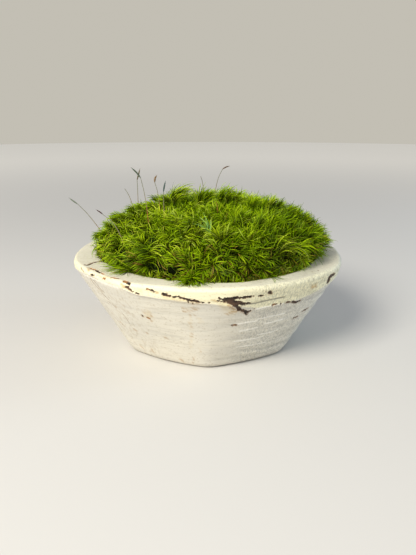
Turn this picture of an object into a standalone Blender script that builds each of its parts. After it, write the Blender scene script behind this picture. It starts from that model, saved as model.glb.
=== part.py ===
"""A cushion of mood moss with spore stalks, in a hewn and whitewashed wooden bowl.

Metres, +Z up. The origin is the middle of the bowl's underside, and -Y is the front.
"""

import math
import random

import bmesh
import bpy
import numpy as np
from mathutils import Matrix, Vector, geometry, noise
from mathutils.bvhtree import BVHTree

MM = 0.001

# The bowl. Its outline is a soft polygon, with other corners at the base than at the rim.
BOWL_HEIGHT = 74 * MM
RIM_RADIUS = 111 * MM
BASE_RADIUS = 75 * MM
WALL_TOP_RADIUS = 107 * MM
WALL_TOP_HEIGHT = 62.5 * MM
MOUTH_RADIUS = 93.3 * MM
FLOOR_RADIUS = 62 * MM
FLOOR_HEIGHT = 14.5 * MM
BASE_ROUNDING = 3.2 * MM
RIM_ROUNDING = 3 * MM
ROUND_MIDWAY = 0.3
MID_HOLLOW = 41 * MM
BAND_STEP = 1.2 * MM
BOWL_SEGMENTS = 72
LEAST_BAND_STEP = 0.3 * MM
# Each corner's angle round the bowl in degrees, and its share of the radius.
BASE_CORNERS = ((-145, 0.97), (-90, 1), (-40, 0.985), (10, 1), (55, 0.98), (105, 1), (155, 0.98))
RIM_CORNERS = (
    (-160, 1),
    (-120, 1),
    (-80, 0.995),
    (-25, 1.008),
    (20, 1),
    (60, 0.99),
    (105, 1),
    (150, 0.995),
)
MOUTH_CORNERS = (
    (-180, 1),
    (-160, 0.948),
    (-125, 0.955),
    (-78, 1.022),
    (-45, 0.985),
    (-25, 0.957),
    (-5, 1),
    (60, 0.99),
    (105, 1),
    (150, 0.99),
)
BASE_DIP = 0.05
RIM_DIP = 0.016
MOUTH_DIP = 0.01
# Angle round the bowl in degrees, and how far the rim's outer band reaches down there in mm.
BAND_DEPTHS = (
    (-180, 7.0),
    (-160, 6.0),
    (-145, 4.0),
    (-125, 4.0),
    (-115, 8.0),
    (-105, 9.5),
    (-90, 11.5),
    (-80, 14.5),
    (-70, 18.5),
    (-50, 18.0),
    (-30, 12.0),
    (-10, 8.0),
    (30, 6.0),
    (60, 11.0),
    (85, 14.0),
    (110, 8.0),
    (140, 9.0),
    (180, 7.0),
)

# The moss cushion. Its skin is the bottom of the gaps between tufts, which stand on it. It is
# shifted and lumpy up on the crown, and true at its hem, where it meets the bowl.
TIPS_RADIUS = 99.5 * MM
TIPS_TOP = 125.5 * MM
TIPS_WAIST = 80 * MM
CUSHION_SHIFT = Vector((2.5 * MM, 0, 0))
HEM_HEIGHT = 75.3 * MM
HEM_RADIUS = 92 * MM
LUMP_HEIGHT = 1.6 * MM
LUMP_SIZE = 38 * MM
LUMPS_FADE = 3
SHIFT_FADE = 5
TUFTS = 112
TUFT_HEIGHT = 9.4 * MM
TUFT_HEIGHT_SPREAD = 1.7 * MM
TUFT_LEAN = 4.2 * MM
LEAN_OUTWARD = 0.6
LEAN_ASTRAY = 0.7
TUFT_JITTER = 0.22
TUFT_TWIST = 14
GROOVE_IN = 0.26
GROOVE_DOWN = 1.3 * MM
# A tuft's storeys: how much each shrinks, and its share of the tuft's height and lean. The tip
# takes the rest of both.
TUFT_STOREYS = ((0.84, 0.42, 0.1), (0.62, 0.36, 0.35))
GOLDEN_ANGLE = math.radians(137.508)
PROFILE_STEPS = 400
SHORTEST_EDGE = 0.6 * MM
FIT_GAP = 0.5 * MM

# The spore stalks, each as points from inside the cushion to its top, then its capsule's points
# after that and the capsule's radius, in mm. A bare stalk has lost its capsule.
STALK_RADIUS = 0.25 * MM
STALK_TOP_SHARE = 0.75
STALK_BEVEL = 1
CAPSULE_BEVEL = 2
FOOT_GAP = 0.6 * MM
CAPSULE_GAP = 0.3 * MM
POINTS_PER_SPAN = 3
CAPSULE_PROFILE = (0.55, 0.92, 1.0, 0.95, 0.7, 0.42, 0.22)
SPORE_STALKS = (
    (((-80, -9, 80), (-98.2, -6, 105), (-106, -5, 113)), ((-110, -4, 115.6), (-113.6, -3, 118.1)), 0.55),
    (((-58, -60, 82), (-68, -52, 104), (-80.5, -35, 110.2)), ((-83.4, -32, 111.6), (-86.6, -30, 112.9)), 0.5),
    (((-61, 8, 100), (-66.3, 14, 116.5), (-70.3, 17, 122.5)), (), 0),
    (((-44, -44, 100), (-47.5, -38, 126), (-50.5, -34, 137.5)), ((-53.5, -31, 141), (-58.7, -27, 145)), 0.62),
    (((-57.5, 0, 100), (-57.7, 3, 124), (-58, 4, 131.5)), ((-57, 4.6, 135), (-55.4, 6, 141)), 0.6),
    (((-36.7, -23, 104), (-39.4, -19, 125), (-41.8, -15, 132)), ((-41.6, -14, 135), (-40, -13, 137.4)), 0.75),
    (((-32.5, -41, 100), (-33.6, -34, 120), (-33.6, -33, 127)), ((-33, -32, 131), (-32, -30, 135)), 0.6),
    (((-3.5, 24, 108), (-4.3, 26, 126), (-6, 27, 132)), (), 0),
    (((4.5, 5, 106), (8.6, 7, 132), (12.3, 9, 139.8)), ((15.2, 10.5, 141.4), (18.6, 12, 142.2)), 0.5),
)


def clear_scene():
    for obj in list(bpy.data.objects):
        bpy.data.objects.remove(obj)


def make_material(name, colour, roughness):
    material = bpy.data.materials.new(name)
    material.use_nodes = True
    shader = material.node_tree.nodes["Principled BSDF"]
    shader.inputs["Base Color"].default_value = (*colour, 1)
    shader.inputs["Roughness"].default_value = roughness
    shader.inputs["Metallic"].default_value = 0
    return material


def add_object(name, data, material):
    obj = bpy.data.objects.new(name, data)
    bpy.context.scene.collection.objects.link(obj)
    data.materials.append(material)
    return obj


def mesh_object(name, bm, material):
    bmesh.ops.recalc_face_normals(bm, faces=bm.faces)
    mesh = bpy.data.meshes.new(name)
    bm.to_mesh(mesh)
    bm.free()
    return add_object(name, mesh, material)


def skin_between(bm, lower, upper):
    """Joins two rings that have the same number of points with a band of quads."""
    count = len(lower)
    for i in range(count):
        j = (i + 1) % count
        bm.faces.new((lower[i], lower[j], upper[j], upper[i]))


def soft_polygon(angle, radius, corners, dip):
    """Radius at this angle in degrees of a polygon whose sides bulge a little."""
    first, share = corners[0]
    ring = (*corners, (first + 360, share))
    angle = first + (angle - first) % 360
    for (start, start_share), (end, end_share) in zip(ring, ring[1:]):
        if start <= angle <= end:
            part = (angle - start) / (end - start)
            share = start_share + (end_share - start_share) * part
            return radius * share * (1 - dip * 4 * part * (1 - part))
    return radius


def wall_radius(angle, height):
    """Radius of the bowl's straight outer wall, which leans out from the base to the rim."""
    base = soft_polygon(angle, BASE_RADIUS, BASE_CORNERS, BASE_DIP)
    top = soft_polygon(angle, WALL_TOP_RADIUS, RIM_CORNERS, RIM_DIP)
    return base + (top - base) * height / WALL_TOP_HEIGHT


def hollow_radius(angle, height):
    """Radius of the bowl's inner wall, straight from the floor's edge up to the mouth."""
    mouth = soft_polygon(angle, MOUTH_RADIUS, MOUTH_CORNERS, MOUTH_DIP)
    rise = (height - FLOOR_HEIGHT) / (BOWL_HEIGHT - RIM_ROUNDING - FLOOR_HEIGHT)
    return FLOOR_RADIUS + (mouth - FLOOR_RADIUS) * rise


def band_depth(angle):
    angles, depths = zip(*BAND_DEPTHS)
    return float(np.interp((angle + 180) % 360 - 180, angles, depths)) * MM


def bowl_section(angle):
    """The bowl's section at this angle, as (radius, height), from underside to floor."""
    base = wall_radius(angle, 0)
    rim = soft_polygon(angle, RIM_RADIUS, RIM_CORNERS, RIM_DIP)
    mouth = hollow_radius(angle, BOWL_HEIGHT - RIM_ROUNDING)
    band_foot = BOWL_HEIGHT - band_depth(angle)
    under_band = band_foot - BAND_STEP
    band_radius = min(wall_radius(angle, band_foot) + BAND_STEP, rim - LEAST_BAND_STEP)
    near_base = ROUND_MIDWAY * BASE_ROUNDING
    near_rim = ROUND_MIDWAY * RIM_ROUNDING
    section = [
        (base - BASE_ROUNDING, 0),
        (wall_radius(angle, near_base) - near_base, near_base),
        (wall_radius(angle, BASE_ROUNDING), BASE_ROUNDING),
    ]
    for part in (0.35, 0.7, 1):
        height = BASE_ROUNDING + part * (under_band - BASE_ROUNDING)
        section.append((min(wall_radius(angle, height), band_radius - LEAST_BAND_STEP), height))
    section += [
        (band_radius, band_foot),
        (rim, BOWL_HEIGHT - RIM_ROUNDING),
        (rim - near_rim, BOWL_HEIGHT - near_rim),
        (rim - RIM_ROUNDING, BOWL_HEIGHT),
        (mouth + RIM_ROUNDING, BOWL_HEIGHT),
        (mouth + near_rim, BOWL_HEIGHT - near_rim),
        (mouth, BOWL_HEIGHT - RIM_ROUNDING),
    ]
    for height in (MID_HOLLOW, FLOOR_HEIGHT + RIM_ROUNDING):
        section.append((hollow_radius(angle, height), height))
    section.append((FLOOR_RADIUS - RIM_ROUNDING, FLOOR_HEIGHT))
    return section


def make_bowl(material):
    bm = bmesh.new()
    columns = []
    for i in range(BOWL_SEGMENTS):
        angle = 360 * i / BOWL_SEGMENTS
        turn = math.radians(angle)
        columns.append(
            [
                bm.verts.new((radius * math.cos(turn), radius * math.sin(turn), height))
                for radius, height in bowl_section(angle)
            ]
        )
    rings = list(zip(*columns))
    for lower, upper in zip(rings, rings[1:]):
        skin_between(bm, lower, upper)
    bm.faces.new(reversed(rings[0]))
    bm.faces.new(rings[-1])
    bowl = mesh_object("bowl", bm, material)
    bowl.data.shade_smooth()
    bowl.data.set_sharp_from_angle(angle=math.radians(35))
    return bowl


def cushion_profile():
    """The cushion's section from its crown to its hem: distance along it, radius and height.

    It lies a tuft's height inside the half ellipse that the tufts' tips reach.
    """
    turns = np.linspace(0, math.pi / 2, PROFILE_STEPS)
    rise = TIPS_TOP - TIPS_WAIST
    across = rise * np.sin(turns)
    up = TIPS_RADIUS * np.cos(turns)
    inset = TUFT_HEIGHT / np.hypot(across, up)
    radii = TIPS_RADIUS * np.sin(turns) - inset * across
    heights = TIPS_WAIST + rise * np.cos(turns) - inset * up
    radii = np.append(radii, HEM_RADIUS)
    heights = np.append(heights, HEM_HEIGHT)
    steps = np.hypot(np.diff(radii), np.diff(heights))
    return np.concatenate([[0], np.cumsum(steps)]), radii, heights


def on_cushion(flat, profile):
    """Wraps a point of the flat pattern over the cushion."""
    along, radii, heights = profile
    distance = flat.length
    radius = float(np.interp(distance, along, radii))
    height = float(np.interp(distance, along, heights))
    turn = math.atan2(flat.y, flat.x)
    point = Vector((radius * math.cos(turn), radius * math.sin(turn), height))
    from_hem = max(0.0, 1 - distance / along[-1])
    point.z += LUMP_HEIGHT * noise.noise(point / LUMP_SIZE) * min(1.0, LUMPS_FADE * from_hem)
    return point + CUSHION_SHIFT * min(1.0, SHIFT_FADE * from_hem)


def circle_centre(a, b, c):
    """The middle of the circle through three points of the plane."""
    ab = b - a
    ac = c - a
    twice_area = 2 * (ab.x * ac.y - ab.y * ac.x)
    shift = Vector((ac.y * ab.dot(ab) - ab.y * ac.dot(ac), ab.x * ac.dot(ac) - ac.x * ab.dot(ab)))
    return a + shift / twice_area


def tuft_cells(reach, rng):
    """Cells of the flat pattern, one a tuft: their shared corners, and each cell's corners."""
    pitch = reach * math.sqrt(math.pi / TUFTS)
    seeds = []
    for i in range(TUFTS):
        distance = reach * math.sqrt((i + 0.5) / TUFTS)
        turn = i * GOLDEN_ANGLE
        seed = Vector((distance * math.cos(turn), distance * math.sin(turn)))
        push = Vector((rng.uniform(-1, 1), rng.uniform(-1, 1))) * TUFT_JITTER * pitch
        seeds.append(seed + push if distance < reach - pitch else seed)
    mirrored = [seed * (2 * reach / seed.length - 1) for seed in seeds if seed.length > reach - 2 * pitch]
    points, _, triangles, *_ = geometry.delaunay_2d_cdt(seeds + mirrored, [], [], 0, 1e-7)
    centres = [circle_centre(*(points[i] for i in triangle)) for triangle in triangles]
    cells = []
    for i, point in enumerate(points):
        if point.length > reach:
            continue
        around = [k for k, triangle in enumerate(triangles) if i in triangle]
        around.sort(key=lambda k: math.atan2(*reversed(centres[k] - point)))
        cells.append(around)
    return centres, cells


def raise_storey(bm, face, shrink, twist, out, step):
    """Draws a tuft's top face out by this step, and makes it smaller and turns it about out."""
    top = bmesh.ops.extrude_discrete_faces(bm, faces=[face])["faces"][0]
    centre = top.calc_center_median()
    bmesh.ops.scale(bm, vec=(shrink,) * 3, space=Matrix.Translation(-centre), verts=top.verts)
    bmesh.ops.rotate(bm, cent=centre, matrix=Matrix.Rotation(twist, 3, out), verts=top.verts)
    bmesh.ops.translate(bm, vec=step, verts=top.verts)
    return top


def groove_edges(bm, face, out):
    """Pulls the middle of each edge of the tuft's top face in and down, between locks of leaves."""
    centre = face.calc_center_median()
    middles = bmesh.ops.bisect_edges(bm, edges=face.edges, cuts=1)["geom_split"]
    for vertex in (item for item in middles if isinstance(item, bmesh.types.BMVert)):
        vertex.co += GROOVE_IN * (centre - vertex.co) - GROOVE_DOWN * out


def grow_tuft(bm, face, rng):
    """Turns a cell of the cushion into a tuft, a fluted cone that leans to one side."""
    out = face.normal.copy()
    centre = face.calc_center_median()
    outward = Vector((centre.x, centre.y, 0)) / TIPS_RADIUS
    stray = Vector((rng.uniform(-1, 1), rng.uniform(-1, 1), rng.uniform(-0.6, 0.2)))
    lean = LEAN_OUTWARD * outward + LEAN_ASTRAY * stray
    lean = (lean - lean.dot(out) * out) * TUFT_LEAN
    height = TUFT_HEIGHT + TUFT_HEIGHT_SPREAD * rng.uniform(-1, 1)
    twist = math.radians(TUFT_TWIST) * rng.choice((-1, 1))
    top = face
    to_tip = height * out + lean
    for storey, (shrink, rise, drift) in enumerate(TUFT_STOREYS):
        step = rise * height * out + drift * lean
        top = raise_storey(bm, top, shrink, twist, out, step)
        if storey == 0:
            groove_edges(bm, top, out)
        to_tip -= step
    tip = bmesh.ops.poke(bm, faces=[top])["verts"][0]
    tip.co += to_tip


def ring_inside_bowl(bm, above, height):
    """A ring of points just inside the bowl's wall, one under each point of the ring above."""
    ring = []
    for vertex in above:
        turn = math.atan2(vertex.co.y, vertex.co.x)
        radius = hollow_radius(math.degrees(turn), min(height, BOWL_HEIGHT - RIM_ROUNDING)) - FIT_GAP
        ring.append(bm.verts.new((radius * math.cos(turn), radius * math.sin(turn), height)))
    return ring


def make_moss(material):
    rng = random.Random(7)
    profile = cushion_profile()
    centres, cells = tuft_cells(profile[0][-1], rng)
    bm = bmesh.new()
    corners = {}
    for cell in cells:
        for k in cell:
            if k not in corners:
                corners[k] = bm.verts.new(on_cushion(centres[k], profile))
        bm.faces.new([corners[k] for k in cell])
    bmesh.ops.remove_doubles(bm, verts=bm.verts, dist=SHORTEST_EDGE)
    bm.normal_update()
    hem = [vertex for vertex in bm.verts if vertex.is_boundary]
    hem.sort(key=lambda vertex: math.atan2(vertex.co.y, vertex.co.x))
    feet = list(bm.faces)
    above = hem
    for height in (BOWL_HEIGHT - FIT_GAP, MID_HOLLOW, FLOOR_HEIGHT + RIM_ROUNDING):
        ring = ring_inside_bowl(bm, above, height)
        skin_between(bm, ring, above)
        above = ring
    foot = []
    for vertex in above:
        flat = Vector((vertex.co.x, vertex.co.y, 0)).normalized() * (FLOOR_RADIUS - RIM_ROUNDING - FIT_GAP)
        foot.append(bm.verts.new((flat.x, flat.y, FLOOR_HEIGHT + FIT_GAP)))
    skin_between(bm, foot, above)
    bm.faces.new(reversed(foot))
    for face in feet:
        grow_tuft(bm, face, rng)
    return mesh_object("moss_clump", bm, material)


def smooth_path(points):
    """Points along a smooth curve through these ones."""
    padded = [2 * points[0] - points[1], *points, 2 * points[-1] - points[-2]]
    path = []
    for a, b, c, d in zip(padded, padded[1:], padded[2:], padded[3:]):
        for step in range(POINTS_PER_SPAN):
            t = step / POINTS_PER_SPAN
            bend = 2 * b + (c - a) * t + (2 * a - 5 * b + 4 * c - d) * t**2
            path.append(0.5 * (bend + (3 * b - a - 3 * c + d) * t**3))
    path.append(points[-1])
    return path


def tube(name, path, radii, bevel, material):
    """A round tube along the path, with its own radius at each point."""
    curve = bpy.data.curves.new(name, "CURVE")
    curve.dimensions = "3D"
    curve.bevel_depth = 1
    curve.bevel_resolution = bevel
    curve.use_fill_caps = True
    spline = curve.splines.new("POLY")
    spline.points.add(len(path) - 1)
    for point, place, radius in zip(spline.points, path, radii):
        point.co = (*place, 1)
        point.radius = radius
    return add_object(name, curve, material)


def make_stalk(number, route, surface, material):
    """A stalk that starts where its route leaves the moss."""
    points = [Vector(point) * MM for point in route]
    inward = (points[0] - points[1]).normalized()
    hit = surface.ray_cast(points[1], inward)[0]
    points[0] = hit - FOOT_GAP * inward
    path = smooth_path(points)
    steps = len(path) - 1
    radii = [STALK_RADIUS * (1 - (1 - STALK_TOP_SHARE) * i / steps) for i in range(len(path))]
    tube(f"spore_stalk_{number}", path, radii, STALK_BEVEL, material)
    return (path[-1] - path[-2]).normalized()


def make_capsule(number, top, heading, route, width, material):
    """A capsule past the stalk's top, a slim spindle that ends in a fine beak."""
    points = [Vector(top) * MM + CAPSULE_GAP * heading] + [Vector(point) * MM for point in route]
    path = smooth_path(points)
    along = np.linspace(0, len(CAPSULE_PROFILE) - 1, len(path))
    radii = np.interp(along, range(len(CAPSULE_PROFILE)), CAPSULE_PROFILE) * width * MM
    radii = [float(radius) for radius in radii]
    tube(f"spore_capsule_{number}", path, radii, CAPSULE_BEVEL, material)


def main():
    clear_scene()
    make_bowl(make_material("whitewashed_wood", (0.76, 0.71, 0.58), 0.7))
    moss = make_moss(make_material("green_moss", (0.13, 0.25, 0.015), 0.6))
    surface = BVHTree.FromPolygons(
        [vertex.co for vertex in moss.data.vertices],
        [tuple(polygon.vertices) for polygon in moss.data.polygons],
    )
    straw = make_material("straw_stalk", (0.42, 0.27, 0.1), 0.5)
    olive = make_material("olive_capsule", (0.12, 0.13, 0.05), 0.45)
    for number, (route, capsule, width) in enumerate(SPORE_STALKS, 1):
        heading = make_stalk(number, route, surface, straw)
        if capsule:
            make_capsule(number, route[-1], heading, capsule, width, olive)


main()
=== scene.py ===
"""The finish of the moss clump and its hewn, whitewashed bowl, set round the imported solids.

Metres, +Z up. The origin is the middle of the bowl's underside, and -Y is the side that the
photograph shows. Tables of lengths are in millimetres, and MM turns them into metres.
"""

import math

import bpy
import numpy as np
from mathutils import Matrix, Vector, noise
from mathutils.bvhtree import BVHTree


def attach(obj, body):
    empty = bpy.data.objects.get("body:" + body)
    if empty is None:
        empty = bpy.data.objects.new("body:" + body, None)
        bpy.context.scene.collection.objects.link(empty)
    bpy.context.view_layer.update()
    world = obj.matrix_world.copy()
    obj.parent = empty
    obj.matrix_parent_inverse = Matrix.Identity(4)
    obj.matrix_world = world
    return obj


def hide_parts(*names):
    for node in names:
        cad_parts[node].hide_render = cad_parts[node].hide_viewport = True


MM = 0.001
SEED = 11
GOLDEN_ANGLE = math.radians(137.508)

# The camera, fitted to the bowl's rim, base and sides in the photograph.
PHOTO_SIZE = (416, 555)
FOCAL_PIXELS = 560
SENSOR_MM = 36
CAMERA_PLACE = Vector((0.0003, -0.460, 0.187))
CAMERA_DIP = math.radians(16.7)

# The bowl, whose outline is a soft polygon with other corners at the base than at the rim.
BOWL_HEIGHT = 74 * MM
RIM_RADIUS = 111 * MM
BASE_RADIUS = 75 * MM
WALL_TOP_RADIUS = 107 * MM
WALL_TOP_HEIGHT = 62.5 * MM
MOUTH_RADIUS = 93.3 * MM
FLOOR_RADIUS = 62 * MM
FLOOR_HEIGHT = 14.5 * MM
BASE_ROUNDING = 3.2 * MM
RIM_ROUNDING = 3 * MM
BAND_STEP = 1.2 * MM
LEAST_BAND_STEP = 0.3 * MM
BASE_CORNERS = ((-145, 0.97), (-90, 1), (-40, 0.985), (10, 1), (55, 0.98), (105, 1), (155, 0.98))
RIM_CORNERS = (
    (-160, 1),
    (-120, 1),
    (-80, 0.995),
    (-25, 1.008),
    (20, 1),
    (60, 0.99),
    (105, 1),
    (150, 0.995),
)
MOUTH_CORNERS = (
    (-180, 1),
    (-160, 0.948),
    (-125, 0.955),
    (-78, 1.022),
    (-45, 0.985),
    (-25, 0.957),
    (-5, 1),
    (60, 0.99),
    (105, 1),
    (150, 0.99),
)
BASE_DIP = 0.05
RIM_DIP = 0.016
MOUTH_DIP = 0.01
CORNER_SOFTNESS = (-3.2, -1.6, 0, 1.6, 3.2)
# Angle round the bowl in degrees, and how far the rim's outer band reaches down there in mm.
BAND_DEPTHS = (
    (-180, 7.0),
    (-160, 6.0),
    (-145, 4.0),
    (-125, 4.0),
    (-115, 8.0),
    (-105, 9.5),
    (-90, 11.5),
    (-80, 14.5),
    (-70, 18.5),
    (-50, 18.0),
    (-30, 12.0),
    (-10, 8.0),
    (30, 6.0),
    (60, 11.0),
    (85, 14.0),
    (110, 8.0),
    (140, 9.0),
    (180, 7.0),
)
BOWL_COLUMNS = 420
# The rings of the bowl's section, from the underside's middle outwards and up.
UNDERSIDE_SHARES = (0.2, 0.5, 0.8, 0.93)
WALL_RINGS = 46
BAND_RINGS = 11
RIM_TOP_RINGS = 8
FOOT_STEPS = 5
RIM_STEPS = 6
BAND_CHAMFER = 0.35
HOLLOW_HEIGHTS = (66, 60, 50, 38, 26, 18)

# Low relief on the outside: the size of a patch of noise along x, y and z, and heights in mm.
SWAY_PATCH = (40 * MM, 40 * MM, 30 * MM)
STROKE_SWAY = 3.5 * MM
ADZE_PATCH = (55 * MM, 55 * MM, 4 * MM)
ADZE_HEIGHT = 0.12
ADZE_HEIGHT_RIGHT = 0.42
ADZE_HEIGHT_BACK = 0.25
STROKE_PATCH = (24 * MM, 24 * MM, 1.7 * MM)
STROKE_HEIGHT = 0.09
SWELL_PATCH = (17 * MM, 17 * MM, 12 * MM)
SWELL_HEIGHT = 0.22
PIT_PATCH = (2.4 * MM, 2.4 * MM, 2.4 * MM)
PIT_HEIGHT = 0.07
LEVEL_FOOT = 1.5 * MM

# Chips in the paint, as half their width in mm and their points in the photograph's pixels.
CHIPS_SEEN = (
    (1.15, ((85.2, 264.8), (87.9, 265), (93.7, 262.6), (100.8, 261.2))),
    (0.8, ((316.5, 258.3), (319, 256.4), (321, 254.5))),
    (0.95, ((90.1, 267.9), (95.9, 270.2), (99.5, 272.4), (103.9, 274.2))),
    (0.85, ((91.2, 274.8), (94, 275.2))),
    (0.6, ((102.6, 277.9), (105, 278.4))),
    (0.8, ((112.2, 277.5), (119.1, 278.8))),
    (1.15, ((124.2, 280.9), (129.4, 283.1))),
    (0.9, ((125.6, 287.1), (128.4, 288.4), (131, 290.4))),
    (0.5, ((133.2, 291.6),)),
    (0.5, ((136, 293.4), (138.7, 294.2))),
    (0.65, ((147.2, 289.3), (149.5, 289.8))),
    (0.75, ((150.6, 290.5), (153.8, 291.9))),
    (1.0, ((163, 294.5), (166.4, 295.2), (169.6, 296.2))),
    (0.5, ((167.2, 294), (167.4, 292.8))),
    (0.8, ((173.2, 297), (178, 296.6), (183.4, 298.8))),
    (1.05, ((183.4, 298.8), (189.6, 300.5), (198.6, 301.9))),
    (0.5, ((188.4, 302), (188.6, 303))),
    (0.5, ((192.8, 302.6), (193, 304.2))),
    (0.6, ((203, 302.8),)),
    (0.6, ((209.3, 303.2),)),
    (0.75, ((218.8, 298.4), (222.4, 299.7), (225.5, 301.2))),
    (0.75, ((218.4, 301.2), (222, 302), (227, 302.2))),
    (1.4, ((225.4, 299.2), (231, 298.8), (237, 298.2))),
    (2.3, ((229, 300.9), (232.4, 302.4), (236, 305.4))),
    (1.5, ((236, 305.6), (239.4, 309.4), (243.4, 311.4), (247, 312.4))),
    (1.5, ((233.5, 301.6), (240, 303.2), (244.5, 304))),
    (0.9, ((244.5, 303.8), (249.2, 303.6))),
    (0.95, ((246.8, 312.2), (250.5, 310.6))),
    (0.6, ((246.4, 313), (246.6, 314.4))),
    (0.5, ((254.4, 308.8),)),
    (1.0, ((239.4, 298.4), (245, 297.6), (250.8, 296.6))),
    (0.5, ((253.2, 296.3),)),
    (0.95, ((259.6, 296.2), (262.4, 295.7))),
    (0.5, ((266.2, 291.8),)),
    (1.4, ((269.8, 292.4), (270.4, 293.4))),
    (0.6, ((272.6, 305), (276, 304.3))),
    (0.4, ((280.6, 303.6),)),
    (1.0, ((287.2, 302.4), (290.2, 302.4))),
    (1.5, ((292.4, 302), (296.2, 302), (299.4, 300.6))),
    (0.6, ((295.8, 304.2),)),
    (0.9, ((301.9, 311.3), (307.7, 308.1))),
    (0.85, ((293.2, 318.4), (297.2, 316.7))),
    (2.1, ((328.4, 281.2), (329.6, 277.2), (332.4, 275.2))),
    (1.3, ((332.4, 275.4), (334.6, 274))),
    (0.65, ((142.2, 315.2), (143, 316.3))),
    (0.75, ((147.6, 317.6), (149.6, 318.8))),
    (0.85, ((232.6, 325.4), (235.8, 325.2))),
)
# Where the bare wood is fresh and orange brown.
FRESH_WOOD_SEEN = (
    (1.6, ((89, 267.4), (93.5, 269.2))),
    (1.6, ((101.4, 273.2), (105, 274.8))),
    (1.2, ((103.6, 278),)),
    (1.3, ((111.5, 277.2), (114.8, 278))),
    (1.4, ((123, 280.4), (125.6, 281.4))),
    (1.0, ((148, 289.5),)),
    (1.2, ((148.6, 318.2),)),
    (1.0, ((234.2, 325.2),)),
    (1.0, ((274.4, 304.6),)),
)
CHIP_DEPTH = 0.5 * MM
CHIP_LIP = 0.12 * MM
CHIP_EDGE = 0.3 * MM
LIP_PLACE = 0.45 * MM
LIP_WIDTH = 0.35 * MM
RUST_REACH = 1.1 * MM
SPLINTER_PATCH = (5 * MM, 5 * MM, 0.7 * MM)
SPLINTER_HEIGHT = 0.18 * MM
REFINE_MARGIN = 1.2 * MM
# Chips on the sides that the photograph hides, drawn at random along the band's lower edge.
HIDDEN_CHIPS = 40
HIDDEN_CHIPS_FROM = -12
HIDDEN_CHIPS_TO = 206
HIDDEN_CHIP_LENGTHS = (1.0, 2.5, 5.0, 9.0)
HIDDEN_CHIP_HALF_WIDTHS = (0.4, 0.6, 0.8, 1.2)
LOW_CHIP_SHARE = 0.7
CHIP_BELOW_RIM = 2.2 * MM
CHIP_POINT_STEP = 1.6
CHIP_WANDER = 0.9
BEYOND_BOWL = 0.2

# Tan stains in the paint, as half their width in mm and their points in pixels.
STAINS_SEEN = (
    (0.55, ((183.4, 308.4), (190.5, 308.2), (199, 307.9))),
    (0.5, ((183.4, 311.4), (190, 311), (196, 309.4))),
    (0.8, ((190.5, 314.8),)),
    (0.7, ((195.2, 315.2),)),
    (0.3, ((190.6, 324), (190.9, 328))),
    (0.35, ((191.4, 332.4), (191.2, 336.6))),
    (0.3, ((200, 350), (200.8, 352))),
    (0.5, ((150.4, 313), (151.4, 316))),
    (0.6, ((149.4, 319.6), (151, 320.4))),
    (0.6, ((143.2, 311.6), (146, 313))),
    (0.9, ((121.3, 322.9), (124.5, 326.4))),
    (0.6, ((114.2, 304), (116, 306.2))),
    (0.5, ((123.4, 305.4), (125.2, 307.2))),
    (0.5, ((128.6, 311.8), (129.4, 313))),
    (0.6, ((134, 329.2), (137.2, 331))),
    (0.5, ((145.4, 332), (147, 333))),
    (0.7, ((165, 337.6), (167.2, 339))),
    (0.6, ((151.6, 349), (153.2, 351.6))),
    (0.4, ((139, 344), (144, 349))),
    (0.65, ((180.2, 359), (182.4, 360.4))),
    (0.6, ((194.3, 356.4), (193.6, 360.4))),
    (0.6, ((190.8, 363.2), (192.8, 362.8))),
    (0.9, ((229, 305.6), (231.4, 307.4), (234.5, 309.4))),
    (0.6, ((227.6, 313.6), (236, 311.2))),
    (1.2, ((312, 286), (312.6, 288))),
    (1.0, ((315.4, 284.6), (316.8, 286.6))),
    (0.9, ((121.4, 284.8), (123.4, 286))),
    (0.6, ((155, 291), (157, 292.6))),
    (0.5, ((213, 300), (216.5, 301.5))),
    (0.6, ((88, 268), (89, 271))),
    (0.6, ((97, 275.4), (101, 276.8))),
)
STAIN_PATCH = (3 * MM, 3 * MM, 1.2 * MM)
STAIN_WANDER = 1.5 * MM
STAIN_EDGE = 0.9 * MM
# Broad, faint tan tints round the stains.
TINTS_SEEN = (
    (4.5, ((147.5, 313), (149, 317))),
    (1.4, ((190.5, 317), (190.8, 330), (191.4, 347))),
    (1.6, ((199.4, 318.6), (200.2, 322.4))),
    (1.5, ((199, 347), (201, 354))),
    (4.5, ((222, 306), (232, 312))),
    (2.5, ((105, 277), (140, 291))),
    (3.0, ((165, 298), (200, 304))),
    (3.0, ((314, 286),)),
)
TINT_WANDER = 2.5 * MM
TINT_EDGE = 3 * MM
# Long, fine cracks that run down the left side, and a few on the right of the band, in pixels.
CRACKS_SEEN = (
    (0.8, ((90.5, 278.7), (93.7, 283.6), (97.7, 288), (103, 294.3), (108.4, 299.6))),
    (0.75, ((93.9, 280.9), (99.5, 288), (103.9, 292.5))),
    (0.7, ((80.7, 267.5), (83.8, 272))),
    (0.5, ((107.4, 301), (112.4, 304.6), (116.4, 308))),
    (0.4, ((104, 303), (112, 314), (119, 322))),
    (0.35, ((119, 309), (126, 318), (131, 326))),
    (0.4, ((312, 271), (313.5, 279))),
    (0.4, ((318, 270), (319, 276))),
    (0.5, ((324, 271), (323, 278))),
)
# Ridges of thick paint on the right of the front, raised and given a painted highlight, in pixels.
RIDGES_SEEN = (
    (0.75, ((250, 309.6), (262, 307.6), (271, 305.8))),
    (0.6, ((271, 305.8), (283, 303.4))),
    (0.8, ((236.5, 324.4), (246, 322.6), (257, 320.6))),
    (0.7, ((240, 331.2), (248, 329.6), (257, 327.4))),
    (0.6, ((257, 319.2), (270, 316.4), (284, 313.4))),
    (0.55, ((264, 324), (275, 321.4), (285, 318))),
    (0.55, ((258, 334.6), (268, 332.8), (277, 330))),
    (0.6, ((234, 341.4), (248, 339.6), (262, 336.6))),
    (0.55, ((236, 347), (250, 345.2), (266, 341.8))),
)
RIDGE_HEIGHT = 0.3 * MM
CRACK_DEPTH = 0.25 * MM
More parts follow.
